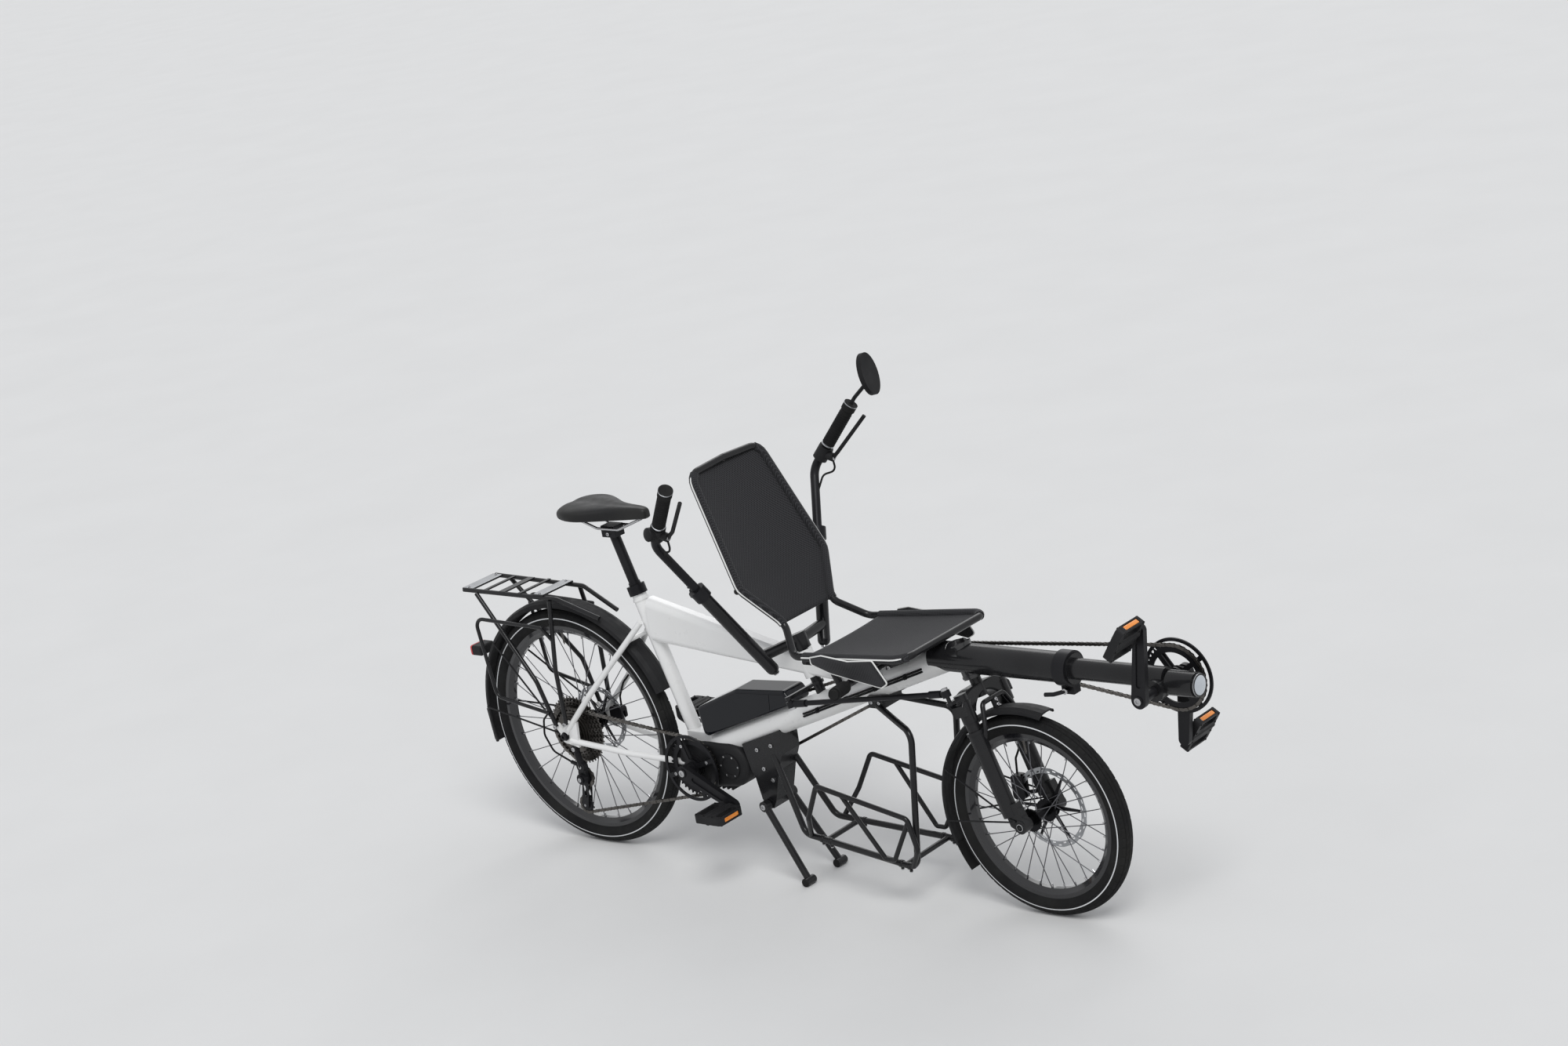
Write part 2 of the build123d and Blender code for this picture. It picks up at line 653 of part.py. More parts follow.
COGS = [(-33, 93), (-36.6, 85), (-40.2, 77), (-43.8, 69), (-47.4, 61), (-51, 54), (-54.6, 47),
        (-58.2, 40), (-61.8, 33), (-65.4, 26)]
with BuildPart() as cassette:
    for y, r in COGS:
        teeth = int(r * 2 * math.pi / 12.7)
        with BuildSketch(side_plane(y + 1)):
            with Locations(REAR):
                Circle(r - 3)
                if r > 60:
                    with PolarLocations(r - 22, 8):
                        SlotOverall(22, 13, mode=Mode.SUBTRACT)
                    with PolarLocations(r - 3, teeth):
                        Rectangle(9, 4)
        extrude(amount=2)
    disc(REAR, -66, -31, 19)
    disc(REAR, -70, -28, 11, Mode.SUBTRACT)
    add(rear_hub.part, mode=Mode.SUBTRACT)

# rear rider's bar: it steers the fork through a rod on the right

ARM_R = 16
BAR_END_R = 11.2


def mirrored(p, side):
    return (p[0], -side * p[1], p[2])


def between(a, b, t):
    return tuple(a[i] + (b[i] - a[i]) * t for i in range(3))


ARM = [(808, -100, 598), (736, -228, 839)]
ARM += [between(ARM[0], ARM[1], 1.565), (812, -345, 1130)]


with BuildPart() as bar_column:
    bar(bar_at(502), bar_at(628), 12.65)
    bar(bar_at(613), bar_at(652), 23)
    rear_lever = bar_at(REAR_LEVER_Z)
    lever_plane = Plane(origin=rear_lever, x_dir=(0, 1, 0), z_dir=UP)
    with BuildSketch(lever_plane.offset(-8)):
        Circle(17)
        with Locations((-LEVER / 2, 0)):
            SlotOverall(LEVER + 18, 18)
    extrude(amount=8)
    bar(rear_lever + Vector(0, -LEVER, 0), rear_lever + Vector(0, -LEVER, 0) - UP * 34, 5)
    for side in (-1, 1):
        low = mirrored(ARM[0], side)
        high = mirrored(ARM[1], side)
        bar(low, high, ARM_R)
        bar(bar_at(636), between(low, high, 0.15), 14)
        with Locations(low):
            Sphere(ARM_R)
        bar(between(low, high, 0.78), between(low, high, 1.1), BAR_END_R + PIN_GAP,
            Mode.SUBTRACT)
    add(frame_main.part, mode=Mode.SUBTRACT)

with BuildPart() as bar_clamps:
    for side in (-1, 1):
        a = mirrored(ARM[0], side)
        b = mirrored(ARM[1], side)
        bar(between(a, b, 0.91), between(a, b, 1.02), 21)
        c = between(a, b, 0.965)
        bar((c[0] - 24, c[1], c[2] - 12), (c[0] - 26, c[1], c[2] + 24), 5)
        with Locations((c[0] - 20, c[1], c[2])):
            Box(16, 14, 20)
        bar(between(a, b, 1.0), between(a, b, 1.1), BAR_END_R + PIN_GAP, Mode.SUBTRACT)
        bar(between(a, b, 0.9), between(a, b, 1.0), ARM_R + PIN_GAP, Mode.SUBTRACT)

with BuildPart() as bar_ends:
    for side in (-1, 1):
        inside = between(ARM[0], ARM[1], 0.8)
        pipe([mirrored(p, side) for p in (inside, ARM[2], ARM[3])], BAR_END_R, 45)

with BuildPart() as bar_grips:
    for side in (-1, 1):
        a = mirrored(ARM[2], side)
        b = mirrored(ARM[3], side)
        bar(between(a, b, 0.38), between(a, b, 0.97), 16)
        bar(between(a, b, 0.93), between(a, b, 1.03), 18)
        bar(between(a, b, 0.0), between(a, b, 1.0), 11.2, Mode.SUBTRACT)

with BuildPart() as bar_controls:
    for side in (-1, 1):
        a = mirrored(ARM[2], side)
        b = mirrored(ARM[3], side)
        pod = between(a, b, 0.24)
        bar(between(a, b, 0.16), between(a, b, 0.35), 19)
        bar(pod, (pod[0] + 34, pod[1], pod[2] - 10), 11)
        pipe([(pod[0] + 30, pod[1], pod[2] - 12), (pod[0] + 52, pod[1], pod[2] + 6),
              (b[0] + 40, b[1], b[2] - 26)], 5, 12)
        bar(pod, (pod[0] - 6, pod[1] + side * 26, pod[2] + 4), 17)
        bar(between(a, b, -0.05), between(a, b, 0.5), 11.2, Mode.SUBTRACT)
    add(bar_ends.part, mode=Mode.SUBTRACT)
    add(bar_grips.part, mode=Mode.SUBTRACT)

with BuildPart() as mirror_arm:
    tip = mirrored(ARM[3], 1)
    pipe([between(mirrored(ARM[2], 1), tip, 1.03), between(mirrored(ARM[2], 1), tip, 1.12),
          (872, 340, 1182), (908, 330, 1200)], 5, 12)
    with BuildSketch(Plane(origin=(896, 328, 1216), x_dir=(0, 1, 0), z_dir=(0.97, 0.1, 0.2))):
        Ellipse(32, 54)
    extrude(amount=14)
    add(bar_grips.part, mode=Mode.SUBTRACT)
    add(bar_ends.part, mode=Mode.SUBTRACT)

fork_pin = steer_at(566) + Vector(0, -LEVER, 0) + UP * 20
bar_pin = rear_lever + Vector(0, -LEVER, 0) - UP * 20
with BuildPart() as steering_rod:
    along = (fork_pin - bar_pin).normalized()
    for pin in (fork_pin, bar_pin):
        bar(pin - UP * 8, pin + UP * 8, 11)
    bar(bar_pin, fork_pin, 6.5)
    bar(bar_pin + along * 14, bar_pin + along * 50, 9)
    bar(fork_pin - along * 50, fork_pin - along * 14, 9)
    for pin in (fork_pin, bar_pin):
        bar(pin - UP * 14, pin + UP * 18, 5 + PIN_GAP, Mode.SUBTRACT)

# cranks and pedals


def add_crankset(centre, angle, ring_side, ring_y, guard_y, second=None):
    """A spindle, two arms, one or two chain rings, and a guard ring on one side."""
    disc(centre, -100, 100, 12)
    for side, turn in ((-1, angle), (1, angle + 180)):
        end = ring_points(centre, CRANK, turn)
        with BuildSketch(side_plane(side * 91 + 7)) as arm_outline:
            with BuildLine():
                Polyline(ring_points(centre, 19, turn + 90), ring_points(end, 14, turn + 90),
                         ring_points(end, 14, turn - 90), ring_points(centre, 19, turn - 90),
                         close=True)
            make_face()
            with Locations(centre):
                Circle(19)
            with Locations(end):
                Circle(14)
        extrude(arm_outline.sketch, amount=14)
        middle = ring_points(centre, CRANK / 2, turn)
        with BuildSketch(side_plane(side * 98 + FLUTE)) as flute:
            with Locations(Location((middle[0], middle[1], 0), (0, 0, turn))):
                SlotOverall(CRANK - 62, 13)
        extrude(flute.sketch, amount=2 * FLUTE, mode=Mode.SUBTRACT)
        disc(end, side * 90, side * 104, 8)
        disc(end, side * 98, side * 190, 6)
    rings = [(ring_side, ring_y)]
    if second:
        rings.append(second)
    for side, y in rings:
        with BuildSketch(side_plane(y + 2)) as ring_outline:
            with Locations(centre):
                Circle(RING_R - 5)
                Circle(RING_R - 17, mode=Mode.SUBTRACT)
                Circle(24)
                with PolarLocations(42, 4, start_angle=angle + 45):
                    Rectangle(44, 12)
        extrude(ring_outline.sketch, amount=4)
        disc(centre, y, side * 86, 16)
    with BuildSketch(side_plane(guard_y + 2)) as guard_outline:
        with Locations(centre):
            Circle(RING_R + 13)
            Circle(RING_R + 5, mode=Mode.SUBTRACT)
            Circle(24)
            Circle(11, mode=Mode.SUBTRACT)
            with PolarLocations(54, 4, start_angle=angle + 45):
                Rectangle(62, 12)
    extrude(guard_outline.sketch, amount=4)


with BuildPart() as rear_crankset:
    add_crankset(BB, -25, -1, -CHAIN_Y, -62, (1, SYNC_Y))

with BuildPart() as front_crankset:
    add_crankset(BOOM_BB, 80.6, 1, SYNC_Y, 64)


PEDAL_PINS = ((41, 36), (41, -36), (-41, 36), (-41, -36), (14, 38), (-14, 38), (14, -38), (-14, -38))


def add_pedal(centre, crank_angle, side, tilt):
    end = ring_points(centre, CRANK, crank_angle)
    plane = Plane(origin=(end[0], side * 152, end[1]), x_dir=(math.cos(math.radians(tilt)), 0,
                  math.sin(math.radians(tilt))), z_dir=(-math.sin(math.radians(tilt)), 0,
                  math.cos(math.radians(tilt))))
    with BuildSketch(plane) as outline:
        RectangleRounded(92, 88, 12)
        with Locations((29, 0), (-29, 0)):
            RectangleRounded(20, 64, 6, mode=Mode.SUBTRACT)
    extrude(outline.sketch, amount=10, both=True)
    for u, v in PEDAL_PINS:
        foot = plane.from_local_coords((u, v, 0))
        bar(foot - plane.z_dir * 12, foot + plane.z_dir * 12, 2.2)
    for end_side in (-1, 1):
        pocket = Plane(origin=plane.from_local_coords((end_side * 46, 0, 0)), x_dir=(0, 1, 0),
                       z_dir=plane.x_dir)
        with BuildSketch(pocket) as pocket_outline:
            RectangleRounded(54, 13, 3)
        extrude(pocket_outline.sketch, amount=3, both=True, mode=Mode.SUBTRACT)
    disc(end, side * 106, side * 196, 12)
    disc(end, side * 100, side * 190, 6 + PIN_GAP, Mode.SUBTRACT)


PEDALS = [("rear_pedal_right", BB, -25, -1, 0), ("rear_pedal_left", BB, 155, 1, 0),
          ("front_pedal_right", BOOM_BB, 80.6, -1, 55), ("front_pedal_left", BOOM_BB, 260.6, 1, 55)]
pedals = {}
for name, centre, angle, side, tilt in PEDALS:
    with BuildPart() as pedal:
        add_pedal(centre, angle, side, tilt)
    pedals[name] = pedal

# chains

UPPER_IDLER = (1255, 628)
LOWER_IDLER = (1290, 598)
GUIDE_PULLEY = (15, 204)
TENSION_PULLEY = (-5, 122)
with BuildPart() as drive_chain:
    add_chain([BB + (RING_R, 1), REAR + (67.5, 1), GUIDE_PULLEY + (22.5, -1),
               TENSION_PULLEY + (22.5, 1)], -CHAIN_Y, 7, 4)

with BuildPart() as sync_chain:
    add_chain([BOOM_BB + (RING_R, 1), UPPER_IDLER + (16, 1), BB + (RING_R, 1),
               LOWER_IDLER + (16, -1)], SYNC_Y, 7, 4)

with BuildPart() as chain_idlers:
    for centre in (UPPER_IDLER, LOWER_IDLER):
        disc(centre, SYNC_Y - 5, SYNC_Y + 5, 10)
        disc(centre, SYNC_Y - 3, SYNC_Y + 3, 11.8)
        disc(centre, 30, SYNC_Y + 8, 5)
    with BuildSketch(side_plane(44)):
        with Locations(UPPER_IDLER, LOWER_IDLER):
            Circle(10)
        make_hull()
    extrude(amount=6)
    bar((1255, 20, 628), (1255, 40, 628), 8)
    add(frame_main.part, mode=Mode.SUBTRACT)
    add(boom_sleeve.part, mode=Mode.SUBTRACT)

with BuildPart() as derailleur:
    for y in (-56, -42):
        with BuildSketch(side_plane(y)):
            with Locations(GUIDE_PULLEY, TENSION_PULLEY):
                Circle(11)
            make_hull()
            with Locations((5, 163)):
                RectangleRounded(8, 34, 3, mode=Mode.SUBTRACT)
        extrude(amount=2)
    for centre in (GUIDE_PULLEY, TENSION_PULLEY):
        disc(centre, -52.5, -47.5, 18)
        disc(centre, -58, -42, 4)
    with BuildSketch(side_plane(-56)):
        with Locations(GUIDE_PULLEY, (20, 240)):
            Circle(13)
        make_hull()
    extrude(amount=12)
    bar((20, -66, 240), (20, -73, 292), 9)
    disc((20, 294), -82, -68, 10)
    disc((20, 240), -72, -56, 14)
    disc(GUIDE_PULLEY, -74, -56, 15)
    disc(GUIDE_PULLEY, -78, -74, 11)
    bar((9, -66, 243), (-12, -68, 250), 5)
    add(drive_chain.part, mode=Mode.SUBTRACT)
    add(rear_triangle.part, mode=Mode.SUBTRACT)
    add(chain_stays.part, mode=Mode.SUBTRACT)

with BuildPart() as rear_caliper:
    with BuildSketch(side_plane(68)):
        with Locations((70, 352)):
            RectangleRounded(44, 34, 8)
    extrude(amount=22)
    bar((66, 62, 345), (66, 70, 300), 5)
    with BuildSketch(side_plane(61)):
        with Locations(REAR):
            Circle(96)
    extrude(amount=8, mode=Mode.SUBTRACT)
    add(rear_triangle.part, mode=Mode.SUBTRACT)
    add(chain_stays.part, mode=Mode.SUBTRACT)

# stand

with BuildPart() as stand_legs:
    disc(STAND_PIVOT, -52, 52, 6)
    foot = ring_points(STAND_PIVOT, STAND_REACH, STAND_ANGLE)
    foot = (foot[0], FOOT_R)
    for side in (-1, 1):
        disc(STAND_PIVOT, side * 41, side * 59, 14)
        bar((STAND_PIVOT[0], side * 50, STAND_PIVOT[1]), (foot[0], side * 62, foot[1]), 9)
        disc(foot, side * 46, side * 78, FOOT_R)

# hoses and cables, made whole along their routes and clipped to what they follow


def leg_point(t, ahead, y):
    """A point of the fork: t up along the steering axis, ahead of it, and y."""
    return STEER_BASE + UP * t + AHEAD * ahead + Vector(0, y, 0)


def tube_side(x, out, y):
    """A point beside the down tube: at x, out below its axis, and y."""
    return (x, y, 322 + (x - 470) * 0.37760 - out)


with BuildPart() as fork_hose:
    pipe([leg_point(334, -20, 24), leg_point(334, -34, 30), leg_point(318, -38, 48),
          leg_point(270, -26, 68), leg_point(150, -25, 70), (1384, 60, 360), (1388, 51, 324)],
         HOSE_R, 12)
    add(fork_upper.part, mode=Mode.SUBTRACT)
    add(front_caliper.part, mode=Mode.SUBTRACT)

with BuildPart() as frame_cables:
    for drop in (0, 7):
        pipe([tube_side(812, drop, -26), tube_side(822, drop, -35.8), tube_side(850, drop, -36.4),
              tube_side(1190, drop, -36.4), tube_side(1218, drop, -35.8),
              tube_side(1228, drop, -26)], HOSE_R, 7)
    pipe([(-38, -88, 396), (-66, -86, 372), (-80, -82, 326), (-64, -76, 278), (-12, -68, 250)],
         HOSE_R, 26)
    pipe([(78, 64, 362), (80, 64, 394), (104, 63, 436), (130, 68, 462)], HOSE_R, 20)
    for drop in (0, 7):
        for x in CABLE_CLIPS:
            along = Vector(0.9356, 0, 0.3530)
            clip = Vector(*tube_side(x, drop, -36.4))
            bar(clip - along * 4, clip + along * 4, HOSE_R + 1.2)
    add(frame_main.part, mode=Mode.SUBTRACT)
    add(rear_triangle.part, mode=Mode.SUBTRACT)
    add(chain_stays.part, mode=Mode.SUBTRACT)
    add(rear_rack.part, mode=Mode.SUBTRACT)
    add(derailleur.part, mode=Mode.SUBTRACT)
    add(rear_caliper.part, mode=Mode.SUBTRACT)

with BuildPart() as bar_hoses:
    for side in (-1, 1):
        a = mirrored(ARM[2], side)
        b = mirrored(ARM[3], side)
        pod = between(a, b, 0.24)
        c = mirrored(ARM[1], side)
        pipe([(pod[0] + 30, pod[1], pod[2] - 14), (pod[0] + 34, pod[1], pod[2] - 44),
              (a[0] + 26, a[1], a[2] - 16), between(a, c, 0.5)], HOSE_R, 16)
    add(bar_controls.part, mode=Mode.SUBTRACT)
    add(bar_ends.part, mode=Mode.SUBTRACT)

PARTS = {
    "frame_main": frame_main,
    "rear_triangle": rear_triangle,
    "chain_stays": chain_stays,
    "rear_axle": rear_axle,
    "motor": motor,
    "battery": battery,
    "rack_stand_bracket": rack_stand_bracket,
    "boom_sleeve": boom_sleeve,
    "boom_tube": boom_tube,
    "boom_clamp": boom_clamp,
    "headlight": headlight,
    "seat_post": seat_post,
    "saddle_rails": saddle_rails,
    "saddle": saddle,
    "mesh_frame": mesh_frame,
    "mesh_back": mesh_back,
    "mesh_pan": mesh_pan,
    "hand_bar": hand_bar,
    "hand_grips": hand_grips,
    "low_rack": low_rack,
    "pannier_hoop_right": pannier_hoop_right,
    "pannier_hoop_left": pannier_hoop_left,
    "rear_mudguard": rear_mudguard,
    "rear_rack": rear_rack,
    "tail_lamp": tail_lamp,
    "fork_upper": fork_upper,
    "fork_lowers": fork_lowers,
    "front_mudguard": front_mudguard,
    "front_caliper": front_caliper,
    "front_tyre": front_tyre,
    "front_rim": front_rim,
    "front_hub": front_hub,
    "front_rotor": front_rotor,
    "rear_tyre": rear_tyre,
    "rear_rim": rear_rim,
    "rear_hub": rear_hub,
    "rear_rotor": rear_rotor,
    "cassette": cassette,
    "bar_column": bar_column,
    "bar_clamps": bar_clamps,
    "bar_ends": bar_ends,
    "bar_grips": bar_grips,
    "bar_controls": bar_controls,
    "mirror_arm": mirror_arm,
    "steering_rod": steering_rod,
    "rear_crankset": rear_crankset,
    "front_crankset": front_crankset,
    "rear_pedal_right": pedals["rear_pedal_right"],
    "rear_pedal_left": pedals["rear_pedal_left"],
    "front_pedal_right": pedals["front_pedal_right"],
    "front_pedal_left": pedals["front_pedal_left"],
    "drive_chain": drive_chain,
    "sync_chain": sync_chain,
    "chain_idlers": chain_idlers,
    "derailleur": derailleur,
    "rear_caliper": rear_caliper,
    "stand_legs": stand_legs,
    "fork_hose": fork_hose,
    "frame_cables": frame_cables,
    "bar_hoses": bar_hoses,
}

os.makedirs("parts", exist_ok=True)
for name, built in PARTS.items():
    moved = Pos(SHIFT, 0, 0) * built.part
    moved.label = name
    export_step(moved, f"parts/{name}.step")
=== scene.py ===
import math

import bpy
from mathutils import Matrix, Vector

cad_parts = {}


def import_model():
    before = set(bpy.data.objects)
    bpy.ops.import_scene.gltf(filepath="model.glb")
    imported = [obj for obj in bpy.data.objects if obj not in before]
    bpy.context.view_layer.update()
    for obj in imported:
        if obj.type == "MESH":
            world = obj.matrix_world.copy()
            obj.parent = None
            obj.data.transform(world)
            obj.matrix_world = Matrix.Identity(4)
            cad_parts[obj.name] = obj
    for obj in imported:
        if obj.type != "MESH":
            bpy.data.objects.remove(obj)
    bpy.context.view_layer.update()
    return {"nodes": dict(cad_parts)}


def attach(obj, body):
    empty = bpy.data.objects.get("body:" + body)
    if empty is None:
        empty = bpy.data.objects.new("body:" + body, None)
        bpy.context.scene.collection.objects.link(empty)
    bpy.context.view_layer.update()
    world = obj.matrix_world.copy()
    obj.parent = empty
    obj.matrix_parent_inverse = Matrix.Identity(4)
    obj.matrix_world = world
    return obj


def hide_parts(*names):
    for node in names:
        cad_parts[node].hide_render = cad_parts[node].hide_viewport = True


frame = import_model()
NODES = frame["nodes"]

# Millimetres from the rear axle's foot, as in the part's source: x forward, y left, z up.
MM = 0.001
SHIFT = -810.5
REAR = (0, 329.5)
FRONT = (1480, 253)
REAR_R = 329.5
FRONT_R = 253
TYRE_W = 50
HEAD_ANGLE = 72
FORK_OFFSET = 20
BB = (425, 278)
BOOM_BB = (1885, 612)
RING_R = 77
CHAIN_Y = 50
SYNC_Y = 52
CRANK = 170
PITCH = 12.7
TAU = 2 * math.pi
SIDES = (-1, 1)

TILT = math.radians(HEAD_ANGLE)
UP = Vector((-math.cos(TILT), 0, math.sin(TILT)))
AHEAD = Vector((math.sin(TILT), 0, math.cos(TILT)))
ACROSS = Vector((0, 1, 0))
STEER_BASE = Vector((FRONT[0], 0, FRONT[1])) - AHEAD * FORK_OFFSET


def place(p):
    """A point of the part's source, in metres in the row frame."""
    return Vector(((p[0] + SHIFT) * MM, p[1] * MM, p[2] * MM))


def around(centre, r, angle):
    a = math.radians(angle)
    return (centre[0] + r * math.cos(a), centre[1] + r * math.sin(a))


def side_name(side):
    return "left" if side > 0 else "right"


def cross_ways(way):
    """Two directions at right angles to a way and to each other."""
    side = way.orthogonal().normalized()
    return side, way.cross(side)


def circle(centre, side, other, r, sides):
    """Points round a centre, in the plane of two directions."""
    points = []
    for k in range(sides):
        t = TAU * k / sides
        points.append(centre + (side * math.cos(t) + other * math.sin(t)) * r)
    return points


def walls(rows, n, joined=False):
    """Faces between rows of n points, each row closed on itself. Where the rows are
    joined, the last one runs on to the first."""
    faces = []
    for i in range(rows if joined else rows - 1):
        j = (i + 1) % rows
        for k in range(n):
            m = (k + 1) % n
            faces.append((i * n + k, i * n + m, j * n + m, j * n + k))
    return faces


def ends(rows, n):
    """The two faces that close the first row and the last."""
    return [tuple(range(n))[::-1], tuple(range((rows - 1) * n, rows * n))]


# materials

NOISE_ROUGHNESS = 0.55
PATCH_SCALE = 9.0
SMUDGE_SCALE = 34.0
COAT_ROUGHNESS = 0.08
HUB_COLOUR = (0.012, 0.012, 0.014)
SPOKE_COLOUR = (0.13, 0.13, 0.14)
HEAD_COLOUR = (0.010, 0.010, 0.011)
HEAD_REACH = 28
# a wave texture at scale 1 has this many bands in a metre
WAVE_BANDS = 3.2


def new_material(name):
    m = bpy.data.materials.new(name)
    m.use_nodes = True
    tree = m.node_tree
    shader = tree.nodes["Principled BSDF"]
    coords = tree.nodes.new("ShaderNodeTexCoord")
    return m, tree, shader, coords.outputs["Object"]


def fill(node, values):
    """Sets sockets of a node by their names."""
    for name, value in values.items():
        node.inputs[name].default_value = value


def noise(tree, where, scale, detail=4.0):
    n = tree.nodes.new("ShaderNodeTexNoise")
    fill(n, {"Scale": scale, "Detail": detail, "Roughness": NOISE_ROUGHNESS})
    tree.links.new(where, n.inputs["Vector"])
    return n.outputs["Fac"]


def to_range(tree, value, low, high, start=0.3, stop=0.7):
    n = tree.nodes.new("ShaderNodeMapRange")
    fill(n, {"From Min": start, "From Max": stop, "To Min": low, "To Max": high})
    tree.links.new(value, n.inputs["Value"])
    return n.outputs["Result"]


def mixed(tree, fac, a, b):
    n = tree.nodes.new("ShaderNodeMix")
    n.data_type = "RGBA"
    tree.links.new(fac, n.inputs["Factor"])
    for socket, value in ((n.inputs[6], a), (n.inputs[7], b)):
        if isinstance(value, tuple):
            socket.default_value = (*value, 1.0)
        else:
            tree.links.new(value, socket)
    return n.outputs[2]


def bumped(tree, shader, height, strength, distance):
    n = tree.nodes.new("ShaderNodeBump")
    fill(n, {"Strength": strength, "Distance": distance})
    tree.links.new(height, n.inputs["Height"])
    tree.links.new(n.outputs["Normal"], shader.inputs["Normal"])


def coated(name, colour, dull, rough, metallic=0.0, coat=0.0, grain=900.0, grain_depth=0.00004,
           grain_strength=0.3, gleam=0.5):
    """A painted, plated or moulded finish: its colour drifts a little, dust dulls it in
    patches, and a fine grain breaks up its gloss."""
    m, tree, shader, where = new_material(name)
    patches = to_range(tree, noise(tree, where, PATCH_SCALE), 0.0, 1.0)
    tree.links.new(mixed(tree, patches, colour, dull), shader.inputs["Base Color"])
    smudges = noise(tree, where, SMUDGE_SCALE, 6.0)
    tree.links.new(to_range(tree, smudges, rough * 0.85, rough * 1.2),
                   shader.inputs["Roughness"])
    bumped(tree, shader, noise(tree, where, grain, 2.0), grain_strength, grain_depth)
    fill(shader, {"Metallic": metallic, "Specular IOR Level": gleam, "Coat Weight": coat,
                  "Coat Roughness": COAT_ROUGHNESS})
    return m


WHITE_LOOK = dict(colour=(0.84, 0.84, 0.83), dull=(0.81, 0.81, 0.795), rough=0.3, coat=0.6,
                  grain=420.0, grain_depth=0.00002)
WHITE = coated("white_paint", **WHITE_LOOK)
BLACK = coated("black_paint", (0.008, 0.008, 0.009), (0.014, 0.014, 0.015), 0.28,
               coat=0.25, gleam=0.18)
ALLOY = coated("black_alloy", (0.012, 0.012, 0.014), (0.020, 0.020, 0.022), 0.36,
               metallic=0.4, gleam=0.2)
RIM = coated("rim", (0.008, 0.008, 0.010), (0.014, 0.014, 0.016), 0.16, coat=0.6, gleam=0.4)
PLASTIC = coated("black_plastic", (0.010, 0.010, 0.011), (0.018, 0.018, 0.019), 0.55,
                 grain=1500.0, grain_depth=0.00006, gleam=0.2)
GLOSS = coated("gloss_plastic", (0.003, 0.004, 0.007), (0.005, 0.006, 0.009), 0.1,
               coat=0.4, grain=300.0, grain_depth=0.00001, gleam=0.1)
RUBBER = coated("rubber", (0.009, 0.009, 0.010), (0.018, 0.018, 0.017), 0.72,
                grain=1900.0, grain_depth=0.00008, grain_strength=0.5, gleam=0.15)
STEEL = coated("steel", (0.56, 0.56, 0.57), (0.42, 0.42, 0.43), 0.28,
               metallic=1.0, grain=700.0, grain_depth=0.00002)
DARK_STEEL = coated("dark_steel", (0.16, 0.15, 0.14), (0.09, 0.085, 0.08), 0.35,
                    metallic=1.0, grain=800.0, grain_depth=0.00004)
BRUSHED = coated("brushed_alloy", (0.46, 0.47, 0.49), (0.36, 0.37, 0.38), 0.34,
                 metallic=0.9, grain=600.0)
WHITE_TRIM = coated("white_piping", (0.78, 0.78, 0.76), (0.70, 0.70, 0.68), 0.6,
                    grain=1600.0, grain_depth=0.0001, grain_strength=0.6)
STRIPE = coated("reflective_stripe", (0.74, 0.75, 0.76), (0.62, 0.63, 0.64), 0.35, grain=1500.0)
LEATHER = coated("saddle_cover", (0.012, 0.012, 0.013), (0.020, 0.020, 0.019), 0.46,
                 grain=520.0, grain_depth=0.00025, grain_strength=0.6, gleam=0.25)
AMBER = coated("amber_reflector", (0.90, 0.30, 0.02), (0.82, 0.24, 0.02), 0.18,
               coat=0.8, grain=240.0, grain_depth=0.0003, grain_strength=0.8)
RED = coated("red_lens", (0.60, 0.02, 0.02), (0.45, 0.01, 0.01), 0.14,
             coat=0.8, grain=260.0, grain_depth=0.0003, grain_strength=0.7)
GLASS = coated("lamp_glass", (0.62, 0.66, 0.70), (0.50, 0.54, 0.58), 0.06,
               metallic=0.6, coat=1.0, grain=220.0, grain_depth=0.0004, grain_strength=0.6)
MIRROR_GLASS = coated("mirror_glass", (0.82, 0.84, 0.86), (0.80, 0.82, 0.84), 0.03,
                      metallic=1.0, grain_strength=0.02)


def woven(name, colour, thread, pitch):
    """An open mesh of two sets of threads, with small dark gaps between them: the first colour is
    painted shade in the gaps, the second the threads' own colour.
    """
    m, tree, shader, where = new_material(name)
    top = tree.nodes.new("ShaderNodeMath")
    top.operation = "MAXIMUM"
    for i, turn in enumerate((60, -60)):
        spin = tree.nodes.new("ShaderNodeVectorRotate")
        spin.rotation_type = "Z_AXIS"
        spin.inputs["Angle"].default_value = math.radians(turn)
        wave = tree.nodes.new("ShaderNodeTexWave")
        wave.bands_direction = "Y"
        fill(wave, {"Scale": 1.0 / (pitch * WAVE_BANDS), "Distortion": 0.3})
        tree.links.new(where, spin.inputs["Vector"])
        tree.links.new(spin.outputs["Vector"], wave.inputs["Vector"])
        tree.links.new(wave.outputs["Fac"], top.inputs[i])
    # the gaps between the threads take the first colour, a painted shade where the holes would be
    fac = to_range(tree, top.outputs["Value"], 0.0, 1.0, 0.55, 0.95)
    tree.links.new(mixed(tree, fac, colour, thread), shader.inputs["Base Color"])
    bumped(tree, shader, top.outputs["Value"], 0.8, 0.0006)
    fill(shader, {"Roughness": 0.75, "Specular IOR Level": 0.2, "Sheen Weight": 0.1})
    return m


# each first colour is the painted shade of the gaps between the threads
WEBBING = woven("webbing", (0.008, 0.008, 0.009), (0.022, 0.022, 0.024), 0.0012)
MESH = woven("seat_mesh", (0.006, 0.006, 0.007), (0.040, 0.040, 0.043), 0.003)


